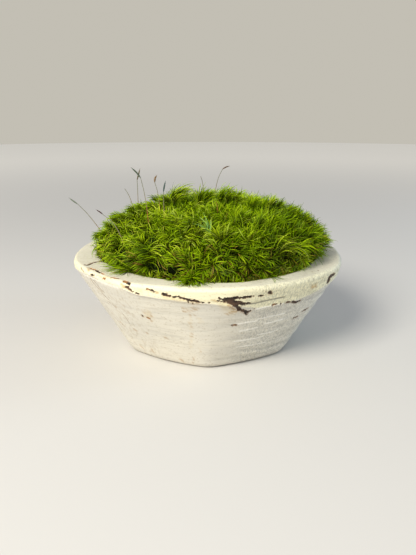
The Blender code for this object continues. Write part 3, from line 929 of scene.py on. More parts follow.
def paint_finish():
    """Chalky off-white paint with brush strokes, and dark wood where it has chipped off."""
    material, tree, shader = new_material("whitewashed_wood", 0.62, 0.35)
    clouds = stretched_noise(tree, (22, 22, 30), 3)
    brushed = stretched_noise(tree, (42, 42, 460), 4, 0.65)
    hewn = stretched_noise(tree, (420, 420, 32), 3, 0.6)
    weave = stretched_noise(tree, (900, 900, 330), 3, 0.6)
    specks = stretched_noise(tree, (560, 560, 560), 2, 0.7)
    patches = stretched_noise(tree, (170, 170, 170), 2)
    fine = stretched_noise(tree, (900, 900, 1400), 3, 0.6)
    weathered_and_shaded = attribute(tree, "weathered_and_shaded")

    cream = ramp(tree, clouds, ((0.3, WALL_CREAM), (0.7, WALL_GREY)))
    # The band takes a lighter, yellower cream: partly its own tone, partly painted light on its upright
    # face, with less of it on the rim top.
    paint = mixed(tree, attribute(tree, "band"), cream, BAND_CREAM)
    # Painted shade: the right and back sides are tinged darker and cooler.
    paint = mixed(tree, weathered_and_shaded, paint, tinged(tree, paint, SHADE_TINGE))
    # Painted reflection of the cool light on the right side, as a blue grey.
    paint = mixed(tree, part_of(tree, "cool", 0.6), paint, COOL_REFLECTION_GREY)
    across_wall = ramp(
        tree,
        brushed,
        ((0.32, (0.72, 0.70, 0.665)), (0.47, (0.95, 0.945, 0.93)), (0.6, (1, 1, 1))),
    )
    down_wall = ramp(tree, hewn, ((0.34, (0.74, 0.68, 0.58)), (0.5, (1, 1, 1))))
    strokes = mixed(tree, attribute(tree, "grain"), across_wall, down_wall)
    paint = mixed(tree, 0.6, paint, strokes, "MULTIPLY")
    woven = ramp(
        tree,
        weave,
        ((0.36, (0.68, 0.685, 0.68)), (0.5, (0.93, 0.93, 0.93)), (0.64, (1.1, 1.09, 1.06))),
    )
    paint = mixed(tree, weathered_and_shaded, paint, tinged(tree, paint, woven))
    # Darker in the hollows of the relief, from dirt and painted shade, with a painted highlight on its
    # crests.
    relief_dirt_and_highlight = ramp(
        tree,
        attribute(tree, "relief"),
        ((0.2, (0.78, 0.785, 0.79)), (0.5, (1, 1, 1)), (0.9, (1.05, 1.05, 1.04))),
    )
    paint = mixed(tree, 0.7, paint, relief_dirt_and_highlight, "MULTIPLY")
    pores = ramp(tree, specks, ((0.33, (0.66, 0.60, 0.50)), (0.42, (1, 1, 1))))
    paint = mixed(tree, 0.5, paint, pores, "MULTIPLY")

    # Painted highlight: the crests of the paint ridges are lighter.
    paint = mixed(tree, part_of(tree, "raised", 0.75), paint, RIDGE_HIGHLIGHT)
    paint = mixed(tree, part_of(tree, "tint", 0.6), paint, tinged(tree, paint, TINT_TINGE))
    paint = mixed(tree, part_of(tree, "stain", 0.66), paint, tinged(tree, paint, STAIN_TINGE))
    paint = mixed(tree, part_of(tree, "crack", 0.85), paint, CRACK_BROWN)
    edge = maths(tree, "POWER", attribute(tree, "chip_edge"), 3)
    paint = mixed(tree, maths(tree, "MULTIPLY", edge, 0.5), paint, RUST)
    # Painted shadow: the groove is darkened towards a dark grey.
    paint = mixed(tree, part_of(tree, "groove_shadow", 0.8), paint, GROOVE_SHADOW)

    dark = ramp(
        tree,
        hewn,
        ((0.35, (0.012, 0.007, 0.005)), (0.5, (0.036, 0.02, 0.012)), (0.75, (0.09, 0.05, 0.03))),
    )
    warm = ramp(tree, patches, ((0.5, (0, 0, 0)), (0.66, (1, 1, 1))))
    wood = mixed(tree, warm, dark, WARM_WOOD)
    wood = mixed(tree, attribute(tree, "fresh"), wood, FRESH_WOOD)
    coloured = mixed(tree, attribute(tree, "bare_wood"), paint, wood)
    tree.links.new(coloured, shader.inputs["Base Color"])

    woven_relief = maths(tree, "MULTIPLY", weave, maths(tree, "MULTIPLY", weathered_and_shaded, 0.9))
    height = maths(tree, "ADD", maths(tree, "MULTIPLY", brushed, 0.6), maths(tree, "MULTIPLY", fine, 0.25))
    height = maths(tree, "ADD", height, woven_relief)
    bump = node(tree, "ShaderNodeBump")
    bump.inputs["Strength"].default_value = 0.55
    bump.inputs["Distance"].default_value = 0.35 * MM
    tree.links.new(height, bump.inputs["Height"])
    tree.links.new(bump.outputs["Normal"], shader.inputs["Normal"])
    return material


def make_bowl(rng):
    profile = [(float(radius[0]), float(height[0])) for radius, height in bowl_section(np.zeros(1))]
    bowl = turned_blank(profile)
    hew(bowl, profile)
    add_tool_marks(bowl)
    wear_paint(bowl, rng)
    select_only(bowl)
    bpy.ops.object.shade_smooth_by_angle(angle=math.radians(50))
    return finish_piece(bowl, "whitewashed_bowl", paint_finish(), "whitewashed_wood", "bowl")


# The moss


def dome_profile():
    """Sections of the dome of leaf roots: radius, height, outward normal, and area share."""
    turns = np.linspace(0, DOME_END, DOME_STEPS)
    rise = TIPS_TOP - TIPS_WAIST
    out = np.stack([rise * np.sin(turns), TIPS_RADIUS * np.cos(turns)], 1)
    out /= np.linalg.norm(out, axis=1)[:, None]
    tips = np.stack([TIPS_RADIUS * np.sin(turns), TIPS_WAIST + rise * np.cos(turns)], 1)
    roots = tips - (EDGE_DEPTH + (MOSS_DEPTH - EDGE_DEPTH) * np.clip(out[:, 1:], 0, 1)) * out
    steps = np.linalg.norm(np.diff(roots, axis=0), axis=1)
    area = np.concatenate([[0], np.cumsum(steps * (roots[1:, 0] + roots[:-1, 0]) / 2)])
    return roots, out, area / area[-1]


def on_dome(shares, turns):
    """Places and outward normals on the dome at these shares of its area and these angles."""
    roots, out, area = dome_profile()
    radius = np.interp(shares, area, roots[:, 0])
    height = np.interp(shares, area, roots[:, 1])
    lean = np.interp(shares, area, out[:, 0])
    rise = np.interp(shares, area, out[:, 1])
    places = np.stack([radius * np.cos(turns), radius * np.sin(turns), height], 1)
    normals = np.stack([lean * np.cos(turns), lean * np.sin(turns), rise], 1)
    crown = np.clip(5 * (1 - shares), 0, 1)
    places[:, 2] += LUMP_HEIGHT * noise_at(places, LUMP_SIZE) * crown
    places[:, 0] += DOME_SHIFT * crown + LEFT_SHIFT * np.clip(-places[:, 0] / TIPS_RADIUS, 0, 1)
    return places, normals


def scattered(count, jitter, rng):
    """Evenly spread places on the dome, by the golden angle, each moved a little."""
    numbers = np.arange(count) + 0.5
    shares = numbers / count
    pitch = np.sqrt(shares / count)
    shares = np.clip(shares + rng.uniform(-jitter, jitter, count) * pitch, 0.5 / count, 1)
    turns = numbers * GOLDEN_ANGLE + rng.uniform(-jitter, jitter, count) * pitch / (2 * shares)
    return on_dome(shares, turns)


def unit(vectors):
    return vectors / np.maximum(np.linalg.norm(vectors, axis=-1, keepdims=True), 1e-9)


def across(vectors, axis):
    """The part of each vector that is square to its axis, at unit length."""
    return unit(vectors - (vectors * axis).sum(-1, keepdims=True) * axis)


def pixels_at(places):
    """Where the camera sees each place, in the photograph's pixels."""
    level = math.cos(CAMERA_DIP)
    fall = math.sin(CAMERA_DIP)
    x, y, z = (places - np.array(CAMERA_PLACE)).T
    depth = y * level - z * fall
    right = x / depth
    up = (z * level + y * fall) / depth
    columns = PHOTO_SIZE[0] / 2 + FOCAL_PIXELS * right
    rows = PHOTO_SIZE[1] / 2 - FOCAL_PIXELS * up
    return np.stack([columns, rows], 1)


class Leaves:
    """Leaves as arrays: root, first direction, the side they curl to, and their sizes.

    A leaf is turned about its own line by its roll at the root, and by its twist from there on.
    Its light sets the painted shade at its root: 0 where the root is deep in the cushion, 1 where the
    whole leaf stands free.
    """

    def __init__(self, roots, headings, sides, lengths, bends, widths, rolls, twists, tones, lights):
        self.roots = roots
        self.headings = headings
        self.sides = sides
        self.lengths = lengths
        self.bends = bends
        self.widths = widths
        self.rolls = rolls
        self.twists = twists
        self.tones = tones
        self.lights = lights

    def chosen(self, which):
        return Leaves(*(values[which] for values in vars(self).values()))

    @staticmethod
    def together(groups):
        return Leaves(*(np.concatenate(values) for values in zip(*(vars(g).values() for g in groups))))


def keep_off_rim(places):
    """Lifts the points that would be inside the bowl's rim, so that leaves lie on it."""
    angles = around(places.reshape(-1, 3)).reshape(places.shape[:-1])
    radius = np.hypot(places[..., 0], places[..., 1])
    mouth = soft_polygon(angles.ravel(), MOUTH_RADIUS, MOUTH_CORNERS, MOUTH_DIP).reshape(radius.shape)
    over = radius > mouth - 0.5 * MM
    floor = BOWL_HEIGHT + 0.35 * MM - np.clip(mouth + 1.5 * MM - radius, 0, 2 * MM)
    places[..., 2] = np.where(over, np.maximum(places[..., 2], floor), places[..., 2])
    return places


def leaf_mesh(name, leaves):
    """One mesh of narrow, arching, tapering leaves. Its map holds each leaf's tone and its painted shade.
    """
    count = len(leaves.roots)
    segments = LEAF_SEGMENTS
    flat_side = np.cross(leaves.headings, leaves.sides)
    step = (leaves.lengths / segments)[:, None]
    centre = leaves.roots.copy()
    rows = []
    for k in range(segments + 1):
        part = k / segments
        bend = (leaves.bends * part**LEAF_CURL_POWER)[:, None]
        way = np.cos(bend) * leaves.headings + np.sin(bend) * leaves.sides
        turn = (leaves.rolls + leaves.twists * part)[:, None]
        wide = np.cos(turn) * flat_side + np.sin(turn) * np.cross(way, flat_side)
        half = leaves.widths[:, None] / 2 * (0.62 + 0.9 * part) ** 0.5 * (1 - part**1.8)
        if k < segments:
            rows += [centre - wide * half, centre + wide * half]
            middle = (leaves.bends * ((k + 0.5) / segments) ** LEAF_CURL_POWER)[:, None]
            centre = centre + step * (np.cos(middle) * leaves.headings + np.sin(middle) * leaves.sides)
        else:
            rows.append(centre)
    places = keep_off_rim(np.stack(rows, 1))
    each = 2 * segments + 1
    quads = [(2 * k, 2 * k + 1, 2 * k + 3, 2 * k + 2) for k in range(segments - 1)]
    corners = np.array(sum(quads, ()) + (each - 3, each - 2, each - 1))
    sizes = [4] * (segments - 1) + [3]
    firsts = np.concatenate([[0], np.cumsum(sizes)[:-1]])
    mesh = bpy.data.meshes.new(name)
    mesh.vertices.add(count * each)
    mesh.vertices.foreach_set("co", places.astype(np.float32).ravel())
    mesh.loops.add(count * len(corners))
    loops = (np.arange(count)[:, None] * each + corners).astype(np.int32)
    mesh.loops.foreach_set("vertex_index", loops.ravel())
    mesh.polygons.add(count * len(sizes))
    starts = np.arange(count)[:, None] * len(corners) + firsts
    mesh.polygons.foreach_set("loop_start", starts.astype(np.int32).ravel())
    mesh.update(calc_edges=True)
    mesh.shade_smooth()
    part = np.append(np.repeat(np.arange(segments), 2), segments) / segments
    side = np.append(np.tile((-1.0, 1.0), segments), 0.0)
    u = leaves.tones[:, None] + TONE_SPREAD * side[corners][None, :]
    # v: painted shade along the leaf, darkest at a root deep in the cushion.
    v = 0.98 - 0.96 * (1 - part[corners]) * (1 - leaves.lights[:, None])
    layer = mesh.uv_layers.new(name="OFBake")
    layer.uv.foreach_set("vector", np.stack([u, v], -1).astype(np.float32).ravel())
    return bpy.data.objects.new(name, mesh)


class Shoots:
    """Shoots as arrays: foot, stem's direction, the side their leaves curl to, and their sizes.

    A shoot that is combed through and through has all its leaves curled to its own side, and the
    leaves of one that isn't fan out round its stem. Leaves that swirl bend round the stem too.
    A share of each shoot's leaves is dead.
    """

    def __init__(
        self, feet, axes, curls, combed, swirl, heights, lengths, bends, tones, dead, spread, lights
    ):
        self.feet = feet
        self.axes = axes
        self.curls = curls
        self.combed = combed
        self.swirl = swirl
        self.heights = heights
        self.lengths = lengths
        self.bends = bends
        self.tones = tones
        self.dead = dead
        self.spread = spread
        self.lights = lights


def leafed(shoots, per, rng):
    """The leaves of these shoots, in a spiral up each stem. The number of leaves may differ."""
    per = np.broadcast_to(per, len(shoots.feet))
    shoot = np.repeat(np.arange(len(per)), per)
    total = len(shoot)
    number = np.concatenate([np.arange(count) for count in per])
    up = (number + 0.5) / per[shoot]
    turn = number * GOLDEN_ANGLE + rng.uniform(0, math.tau, len(per))[shoot]
    side = across(rng.normal(size=(len(per), 3)), shoots.axes)
    other = np.cross(shoots.axes, side)
    ray = np.cos(turn)[:, None] * side[shoot] + np.sin(turn)[:, None] * other[shoot]
    axes = shoots.axes[shoot]
    curls = shoots.curls[shoot]
    stem = unit(axes + (0.5 * up)[:, None] * curls)
    spread = np.radians(shoots.spread[shoot] * (1 - 0.65 * up)) + rng.normal(0, 0.1, total)
    headings = unit(np.cos(spread)[:, None] * stem + np.sin(spread)[:, None] * ray)
    rise = shoots.heights[shoot] * up
    roots = shoots.feet[shoot] + rise[:, None] * axes + 0.3 * MM * ray
    roots += (0.3 * rise * up)[:, None] * curls
    share = shoots.combed[shoot][:, None]
    wanted = share * curls + (1.1 - share) * ray - 0.25 * axes
    wanted += shoots.swirl[shoot][:, None] * np.cross(axes, ray) + 0.1 * rng.normal(size=(total, 3))
    own = shoots.tones[shoot]
    bright = 0.15 * (rng.uniform(size=total) < 0.16) * (own < 0.9)
    tones = np.clip(own + bright + rng.normal(0, 0.1, total), 0.32, np.where(own > 0.95, 0.99, 0.94))
    dead = rng.uniform(size=total) < shoots.dead[shoot]
    tones = np.where(dead, rng.uniform(0.04, DEAD_TONE, total), tones)
    return Leaves(
        roots,
        headings,
        across(wanted, headings),
        shoots.lengths[shoot] * rng.uniform(0.8, 1.1, total),
        shoots.bends[shoot] * rng.uniform(0.7, 1.3, total),
        rng.uniform(*LEAF_WIDTHS, total) * MM,
        rng.uniform(-1, 1, total),
        rng.normal(0, 0.5, total),
        tones,
        shoots.lights[shoot],
    )


def grow_cushion(rng):
    """The shoots of the dome, grouped in tufts that each open like a fan."""
    places, normals = scattered(SHOOTS, 0.9, rng)
    tufts, _ = scattered(TUFTS, 0.8, rng)
    own = np.array([np.argmin(((tufts - place) ** 2).sum(1)) for place in places])
    edge = (places - tufts[own]) / TUFT_RADIUS
    middle = np.clip(1 - (edge**2).sum(1), 0, 1)
    lean = rng.normal(size=(TUFTS, 3))[own]
    outward = unit(places * (1, 1, 0))
    sideways = np.cross((0, 0, 1), outward)
    way = rng.choice((-1, 1), TUFTS) * rng.uniform(0.3, 1.2, TUFTS)
    upright = np.array((0, 0, 0.7))
    low = fade(places[:, 2], 96 * MM, -16 * MM)
    axes = (0.4 + 0.25 * low)[:, None] * normals + upright + 0.55 * edge
    axes = unit(axes + 0.16 * lean + 0.1 * rng.normal(size=(SHOOTS, 3)))
    curls = 0.4 * outward + way[own][:, None] * sideways + 0.3 * lean + 0.4 * edge
    curls += 0.2 * rng.normal(size=(SHOOTS, 3))
    hem = fade(places[:, 2], 72 * MM, 12 * MM)
    tall = rng.normal(0, 1, TUFTS)[own]
    heights = 4.2 + 3.0 * hem + (4.4 * middle - 1.8 + 0.8 * tall) * hem + rng.uniform(-1, 1, SHOOTS)
    lengths = 9.4 + 2.0 * hem + rng.uniform(-1.4, 1.6, SHOOTS)
    # Tufts are lighter in the middle and darker at their edges: painted shade in the valleys between them.
    tones = 0.57 + 0.05 * rng.normal(size=TUFTS)[own] + 0.12 * middle + rng.uniform(-0.07, 0.07, SHOOTS)
    swirl = np.where(rng.uniform(size=TUFTS) < 0.4, rng.choice((-1, 1), TUFTS), 0)[own]
    front = fade(places[:, 1] / TIPS_RADIUS, 0.5, -1.2)
    right = fade(places[:, 0], 30 * MM, 30 * MM)
    # The right side is darker, as painted shade away from the window, and the lower front is a little
    # darker.
    tones -= 0.04 * low * front + 0.17 * right
    left = np.clip(0.5 - places[:, 0] / (90 * MM), 0.1, 1)
    combed = 0.5 + 0.4 * left + 0.22 * rng.normal(size=TUFTS)[own] + rng.normal(0, 0.1, SHOOTS)
    shoots = Shoots(
        places - 0.35 * TUFT_RADIUS * edge,
        axes,
        across(curls, axes),
        np.clip(combed, 0.1, 1),
        swirl * rng.uniform(0.5, 1.2, SHOOTS),
        np.clip(heights, 1.5, 12) * MM,
        lengths * MM,
        np.radians(32 + 80 * left + rng.uniform(-15, 25, SHOOTS)),
        tones,
        0.005 + 0.08 * low,
        rng.uniform(38, 62, SHOOTS),
        # How much of the painted shade at their roots the crown's leaves are spared.
        0.42 * fade(places[:, 2], 98 * MM, 9 * MM),
    )
    seen_at = pixels_at(shoots.feet + 9 * MM * axes)
    facing = normals[:, 1] < 0.2
    for pixel, half_width in GAPS_SEEN:
        sunk = facing & (np.linalg.norm(seen_at - np.array(pixel), axis=1) < half_width)
        shoots.heights[sunk] *= 0.3
        shoots.lengths[sunk] *= 0.5
        # Painted shade: the sunk leaves take a dark tone.
        shoots.tones[sunk] = 0.4
    return shoots


def age(shoots):
    """Turns many leaves brown where the photograph shows old growth."""
    seen_at = pixels_at(shoots.feet + 6 * MM * shoots.axes)
    facing = shoots.feet[:, 1] < 0
    for pixel, half_width in OLD_GROWTH_SEEN:
        away = np.linalg.norm(seen_at - np.array(pixel), axis=1)
        near = np.clip(1.5 - away / half_width, 0, 1) * facing
        shoots.dead += 0.22 * near
        shoots.tones -= 0.02 * near
    return shoots


def grow_hem(rng):
    """Short, jumbled shoots, many of them brown, where the cushion meets the bowl's rim."""
    turns = rng.uniform(-180, 180, HEM_SHOOTS)
    depth = rng.uniform(1.5, 10, HEM_SHOOTS) * MM
    radius = soft_polygon(turns, MOUTH_RADIUS, MOUTH_CORNERS, MOUTH_DIP) - depth
    height = BOWL_HEIGHT - 7.5 * MM + 0.75 * depth + rng.uniform(-1.5, 1.5, HEM_SHOOTS) * MM
    out = np.stack([np.cos(np.radians(turns)), np.sin(np.radians(turns)), 0 * turns], 1)
    feet = out * radius[:, None]
    feet[:, 2] = height
    axes = unit(0.35 * out + np.array((0, 0, 0.8)) + 0.4 * rng.normal(size=(HEM_SHOOTS, 3)))
    curls = across(0.5 * out + 0.7 * rng.normal(size=(HEM_SHOOTS, 3)), axes)
    return Shoots(
        feet,
        axes,
        curls,
        rng.uniform(0.1, 0.8, HEM_SHOOTS),
        rng.uniform(-1, 1, HEM_SHOOTS),
        rng.uniform(1.5, 4, HEM_SHOOTS) * MM,
        rng.uniform(5, 8.5, HEM_SHOOTS) * MM,
        np.radians(rng.uniform(40, 130, HEM_SHOOTS)),
        rng.uniform(0.5, 0.9, HEM_SHOOTS),
        rng.uniform(0, 0.6, HEM_SHOOTS) ** 1.5,
        rng.uniform(40, 75, HEM_SHOOTS),
        np.zeros(HEM_SHOOTS),
    )


def rooted(cushion, pixel):
    """Place and normal of the cushion's solid that the camera sees at a pixel, or nearest to it."""
    place, normal, _, _ = cushion.ray_cast(CAMERA_PLACE, sight(*pixel))
    if place is None:
        beside = CAMERA_PLACE + abs(CAMERA_PLACE.y) * sight(*pixel)
        place, normal, _, _ = cushion.find_nearest(beside)
    return place, normal


def grow_tufts_seen(cushion, rng):
    """The tufts that show one by one, rooted in the cushion's solid where the camera sees them."""
    picture_up = Vector((0, math.sin(CAMERA_DIP), math.cos(CAMERA_DIP)))
    feet = []
    axes = []
    curls = []
    reach = []
    free = []
    for foot, tip, (right, up), _, _, tone in TUFTS_SEEN:
        place, normal = rooted(cushion, foot)
        scale = (place - CAMERA_PLACE).length / FOCAL_PIXELS
        way = Vector((tip[0] - foot[0], 0, 0)) + (foot[1] - tip[1]) * picture_up
        depth = TUFT_SINK * max(0, -normal.dot(sight(*foot))) + 1.5 * MM
        feet.append(place + depth * sight(*foot))
        bluish = tone == BLUISH_TONE
        # Tufts that stand out towards the camera get less painted shade at their roots.
        free.append(0.6 if bluish else 0.75 * min(1, max(0, 1 + 1.6 * normal.dot(sight(*foot)))))
        axes.append(way.normalized())
        curls.append(Vector((right, 0, 0)) + up * picture_up)
        reach.append(way.length * scale)
    rows = np.repeat(np.arange(len(feet)), SHOOTS_PER_TUFT)
    count = len(rows)
    feet = np.array(feet)[rows] + rng.normal(0, 1.2 * MM, (count, 3))
    axes = unit(np.array(axes)[rows] + 0.12 * rng.normal(size=(count, 3)))
    reach = np.array(reach)[rows]
    free = np.array(free)[rows]
    leaves = np.array([tuft[4] for tuft in TUFTS_SEEN])[rows] // SHOOTS_PER_TUFT
    bends = np.radians([tuft[3] for tuft in TUFTS_SEEN])[rows] * rng.uniform(0.85, 1.15, count)
    shoots = Shoots(
        feet,
        axes,
        across(np.array(curls)[rows] + 0.1 * rng.normal(size=(count, 3)), axes),
        np.full(count, 0.85),
        np.zeros(count),
        0.45 * reach,
        np.maximum(0.75 * reach * bends / np.sin(bends), 7.5 * MM),
        bends,
        np.array([tuft[5] for tuft in TUFTS_SEEN])[rows],
        np.zeros(count),
        np.full(count, 40.0),
        free,
    )
    return leafed(shoots, leaves, rng)


def grow_overhangs(cushion, rng):
    """Leaves that hang out of the mouth and lie on the rim."""
    seen = np.array([rooted(cushion, pixel)[0] for pixel, _ in OVERHANGS_SEEN])
    count = len(seen)
    outward = unit(seen * (1, 1, 0))
    mouth = soft_polygon(around(seen), MOUTH_RADIUS, MOUTH_CORNERS, MOUTH_DIP)
    feet = outward * mouth[:, None] + (0, 0, BOWL_HEIGHT + 1.5 * MM)
    axes = unit(outward + (0, 0, 0.15) + 0.15 * rng.normal(size=(count, 3)))
    shoots = Shoots(
        feet - 3 * MM * outward,
        axes,
        across(np.tile((0.0, 0.0, -1.0), (count, 1)) + 0.3 * rng.normal(size=(count, 3)), axes),
        np.full(count, 0.4),
        np.zeros(count),
        np.full(count, 4 * MM),
        rng.uniform(17, 20, count) * MM,
        np.radians(rng.uniform(12, 30, count)),
        rng.uniform(0.52, 0.66, count),
        np.full(count, 0.06),
        np.full(count, 27.0),
        np.full(count, 0.4),
    )
    return leafed(shoots, np.array([leaves for _, leaves in OVERHANGS_SEEN]), rng)


def grow_moss(cushion_solid, rng):
    """All the leaves of the cushion."""
    cushion = leafed(age(grow_cushion(rng)), LEAVES_PER_SHOOT, rng)
    hem = leafed(age(grow_hem(rng)), LEAVES_PER_HEM_SHOOT, rng)
    tufts = grow_tufts_seen(cushion_solid, rng)
    return Leaves.together((cushion, hem, tufts, grow_overhangs(cushion_solid, rng)))


def leaf_finish():
    """Fresh moss leaves. A leaf's tone picks its colour, and painted shade darkens it towards its root."""
    material, tree, shader = new_material("moss_leaves", 0.45, 0.14)
    shader.inputs["Specular Tint"].default_value = (0.9, 1.0, 0.35, 1)
    place = node(tree, "ShaderNodeUVMap", uv_map="OFBake")
    split = node(tree, "ShaderNodeSeparateXYZ")
    tree.links.new(place.outputs["UV"], split.inputs["Vector"])
    tones = (
        (0.0, (0.030, 0.020, 0.005)),
        (0.08, (0.15, 0.085, 0.015)),
        (0.17, (0.38, 0.25, 0.04)),
        (0.26, (0.32, 0.34, 0.03)),
        (0.36, (0.055, 0.11, 0.001)),
        (0.5, (0.13, 0.24, 0.0015)),
        (0.65, (0.26, 0.42, 0.002)),
        (0.8, (0.41, 0.56, 0.006)),
        (0.92, (0.60, 0.70, 0.06)),
        (1.0, (0.20, 0.44, 0.14)),
    )
    colour = ramp(tree, split.outputs["X"], tones)
    # Painted shade along the leaf, from its root to its tip.
    shade = ramp(
        tree,
        split.outputs["Y"],
        (
            (0.0, (0.06, 0.06, 0.05)),
            (0.25, (0.3, 0.3, 0.27)),
            (0.5, (0.75, 0.75, 0.75)),
            (1.0, (1.2, 1.2, 1.2)),
        ),
    )
    tree.links.new(tinged(tree, colour, shade), shader.inputs["Base Color"])
    return material


def bed_finish():
    """The cushion's depth between the leaves: dark old growth, painted near black as shade."""
    material, tree, shader = new_material("moss_depth", 0.9, 0.1)
    mottled = stretched_noise(tree, (260, 260, 260), 4, 0.6)
    # Near black: painted shade deep in the cushion.
    colour = ramp(
        tree,
        mottled,
        ((0.35, (0.006, 0.008, 0.002)), (0.6, (0.014, 0.026, 0.004)), (0.8, (0.03, 0.022, 0.008))),
    )
    tree.links.new(colour, shader.inputs["Base Color"])
    return material


def make_bed():
    """The cushion's own body under the leaves: a dome, cut off flat inside the bowl."""
    bpy.ops.object.select_all(action="DESELECT")
    bpy.ops.mesh.primitive_uv_sphere_add(segments=120, ring_count=60, radius=1, location=(0, 0, 0))
    bed = bpy.context.object
    bpy.ops.object.mode_set(mode="EDIT")
    bpy.ops.mesh.select_all(action="SELECT")
    rise = TIPS_TOP - TIPS_WAIST - MOSS_DEPTH
    bpy.ops.transform.resize(value=(TIPS_RADIUS - MOSS_DEPTH, TIPS_RADIUS - MOSS_DEPTH, rise))
    bpy.ops.mesh.select_all(action="SELECT")
    bpy.ops.mesh.bisect(
        plane_co=(0, 0, -8 * MM), plane_no=(0, 0, 1), use_fill=True, clear_inner=True, clear_outer=False
    )
    bpy.ops.mesh.select_all(action="SELECT")
    bpy.ops.transform.translate(value=(0, 0, TIPS_WAIST))
    bpy.ops.mesh.normals_make_consistent(inside=False)
    bpy.ops.object.mode_set(mode="OBJECT")
    places = places_of(bed)
    normals = normals_of(bed)
    crown = fade(places[:, 2], TIPS_WAIST, 8 * MM)
    places[:, 0] += DOME_SHIFT * crown
    places[:, 2] += LUMP_HEIGHT * noise_at(places, LUMP_SIZE) * crown
    rough = 1.2 * noise_at(places, 9 * MM) + 0.6 * noise_at(places, 3 * MM)
    move_to(bed, places + normals * (rough * MM * crown)[:, None])
    bpy.ops.object.shade_smooth()
    return finish_piece(bed, "moss_bed", bed_finish(), "moss", "moss_clump")


def make_moss(cushion_solid, rng):
    """The leaves as a few meshes, each with a slice of the cushion."""
    leaves = grow_moss(cushion_solid, rng)
    finish = leaf_finish()
    slice_of = ((around(leaves.roots) + 180) % 360 * LEAF_PIECES / 360).astype(int)
    for number in range(LEAF_PIECES):
        name = f"moss_leaves_{number + 1}"
        piece = leaf_mesh(name, leaves.chosen(slice_of == number))
        bpy.context.scene.collection.objects.link(piece)
        finish_piece(piece, name, finish, "moss", "moss_clump")


# The spore stalks


def swept_tube(points, radii):
    """A closed tube through these points in mm, with its own radius at each."""
    bpy.ops.object.select_all(action="DESELECT")
    bpy.ops.curve.primitive_bezier_curve_add(location=(0, 0, 0))
    tube = bpy.context.object
    knots = tube.data.splines[0].bezier_points
    knots.add(len(points) - 2)
    for knot, point, radius in zip(knots, points, radii):
        knot.co = Vector(point) * MM
        knot.handle_left_type = "AUTO"
        knot.handle_right_type = "AUTO"
        knot.radius = radius
    tube.data.resolution_u = 6
    tube.data.bevel_depth = MM
    tube.data.bevel_resolution = 3
    tube.data.use_fill_caps = True
    bpy.ops.object.convert(target="MESH")
    bpy.ops.object.shade_smooth()
    return bpy.context.object


def stalk_finish():
    """Rust inside the cushion and straw grey above it."""
    material, tree, shader = new_material("spore_stalk", 0.5, 0.3)
    colour = ramp(
        tree,
        attribute(tree, "along"),
        (
            (0.3, (0.36, 0.13, 0.03)),
            (0.5, (0.24, 0.17, 0.07)),
            (0.75, (0.19, 0.18, 0.10)),
            (1, (0.15, 0.155, 0.10)),
        ),
    )
    tree.links.new(colour, shader.inputs["Base Color"])
    return material


def capsule_finish():
    """Capsules at every age, from brown and maroon to green."""
    material, tree, shader = new_material("spore_capsule", 0.4, 0.4)
    tones = (
        (0.0, (0.045, 0.014, 0.011)),
        (0.1, (0.13, 0.065, 0.03)),
        (0.2, (0.17, 0.095, 0.028)),
        (0.4, (0.10, 0.075, 0.028)),
        (0.6, (0.028, 0.05, 0.02)),
        (0.8, (0.026, 0.06, 0.046)),
        (1.0, (0.12, 0.145, 0.10)),
    )
    colour = ramp(tree, attribute(tree, "tone"), tones)
    tree.links.new(colour, shader.inputs["Base Color"])
    return material


def make_spore_stalks():
    stalk_material = stalk_finish()
    capsule_material = capsule_finish()
    for number, (points, tip, radius, tone) in enumerate(SPORE_STALKS, 1):
        stalk = swept_tube(points, (1.1 * STALK_RADIUS, STALK_RADIUS, 0.85 * STALK_RADIUS))
        heights = places_of(stalk)[:, 2]
        add_number(stalk, "along", (heights - heights.min()) / np.ptp(heights))
        finish_piece(stalk, f"stalk_{number}", stalk_material, "spore_stalk", f"spore_stalk_{number}")
        if tip:
            line = np.array((points[-1], *tip), float)
            steps = np.linalg.norm(np.diff(line, axis=0), axis=1)
            reached = np.concatenate([[0], np.cumsum(steps)]) / steps.sum()
            shares, radii = (np.array(column, float) for column in zip(*CAPSULE_SHAPE))
            rings = np.stack([np.interp(shares, reached, line[:, axis]) for axis in range(3)], 1)
            capsule = swept_tube(rings, radius * radii)
            add_number(capsule, "tone", np.full(len(capsule.data.vertices), tone))
            finish_piece(
                capsule, f"capsule_{number}", capsule_material, "spore_capsule", f"spore_capsule_{number}"
            )


# The stage


def make_floor():
    bpy.ops.object.select_all(action="DESELECT")
    bpy.ops.mesh.primitive_circle_add(
        vertices=96, radius=FLOOR_SIZE, fill_type="NGON", location=(0, 0, -FLOOR_DROP)
    )
    floor = bpy.context.object
    floor.name = "floor"
    material, tree, shader = new_material("pale_floor", 0.8, 0.2)
    shader.inputs["Base Color"].default_value = (*FLOOR_COLOUR, 1)
    place = node(tree, "ShaderNodeTexCoord")
    distance = node(tree, "ShaderNodeVectorMath", operation="LENGTH")
    tree.links.new(place.outputs["Object"], distance.inputs[0])
    far = node(tree, "ShaderNodeMapRange", interpolation_type="SMOOTHSTEP")
    far.inputs["From Min"].default_value = FLOOR_GLOW_FROM
    far.inputs["From Max"].default_value = FLOOR_GLOW_TO
    far.inputs["To Max"].default_value = FLOOR_GLOW_STRENGTH
    tree.links.new(distance.outputs["Value"], far.inputs["Value"])
    shader.inputs["Emission Color"].default_value = (*FLOOR_GLOW, 1)
    tree.links.new(far.outputs["Result"], shader.inputs["Emission Strength"])
    floor.data.materials.append(material)


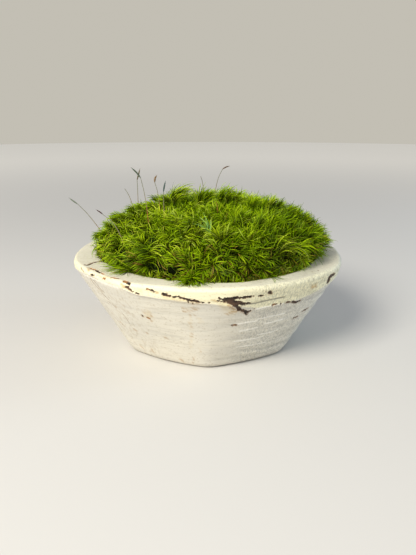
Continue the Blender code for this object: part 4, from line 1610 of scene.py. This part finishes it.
def add_lamp(name, place, size, power, colour):
    data = bpy.data.lights.new(name, "AREA")
    data.shape = "RECTANGLE"
    data.size, data.size_y = size
    data.energy = power
    data.color = colour
    lamp = bpy.data.objects.new(name, data)
    lamp.location = place
    lamp.rotation_euler = (Vector(LAMP_TARGET) - Vector(place)).to_track_quat("-Z", "Y").to_euler()
    bpy.context.scene.collection.objects.link(lamp)


def light_and_camera():
    scene = bpy.context.scene
    scene.view_settings.view_transform = "Standard"
    world = bpy.data.worlds.new("studio")
    world.use_nodes = True
    background = world.node_tree.nodes["Background"]
    background.inputs["Color"].default_value = (*SKY_COLOUR, 1)
    background.inputs["Strength"].default_value = SKY_STRENGTH
    seen = node(world.node_tree, "ShaderNodeBackground")
    seen.inputs["Color"].default_value = (*BACKDROP_COLOUR, 1)
    either = node(world.node_tree, "ShaderNodeMixShader")
    ray = node(world.node_tree, "ShaderNodeLightPath")
    world.node_tree.links.new(ray.outputs["Is Camera Ray"], either.inputs[0])
    world.node_tree.links.new(background.outputs[0], either.inputs[1])
    world.node_tree.links.new(seen.outputs[0], either.inputs[2])
    world.node_tree.links.new(either.outputs[0], world.node_tree.nodes["World Output"].inputs["Surface"])
    scene.world = world
    for lamp in LAMPS:
        add_lamp(*lamp)
    camera = bpy.data.objects.new("camera", bpy.data.cameras.new("camera"))
    camera.data.sensor_width = SENSOR_MM
    camera.data.lens = FOCAL_PIXELS * SENSOR_MM / PHOTO_SIZE[1]
    camera.location = CAMERA_PLACE
    camera.rotation_euler = (math.pi / 2 - CAMERA_DIP, 0, 0)
    camera.data.clip_start = 0.01
    scene.collection.objects.link(camera)
    scene.camera = camera


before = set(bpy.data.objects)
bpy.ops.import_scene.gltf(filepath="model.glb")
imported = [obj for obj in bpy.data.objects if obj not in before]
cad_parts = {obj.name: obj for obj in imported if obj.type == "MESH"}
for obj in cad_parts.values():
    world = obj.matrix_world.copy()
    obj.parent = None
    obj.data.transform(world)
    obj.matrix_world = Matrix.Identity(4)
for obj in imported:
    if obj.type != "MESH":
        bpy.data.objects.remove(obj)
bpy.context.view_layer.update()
packed_moss = surface_of(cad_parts["moss_clump"])
make_floor()
light_and_camera()
make_bowl(np.random.default_rng(SEED))
make_bed()
make_moss(packed_moss, np.random.default_rng(SEED + 1))
make_spore_stalks()
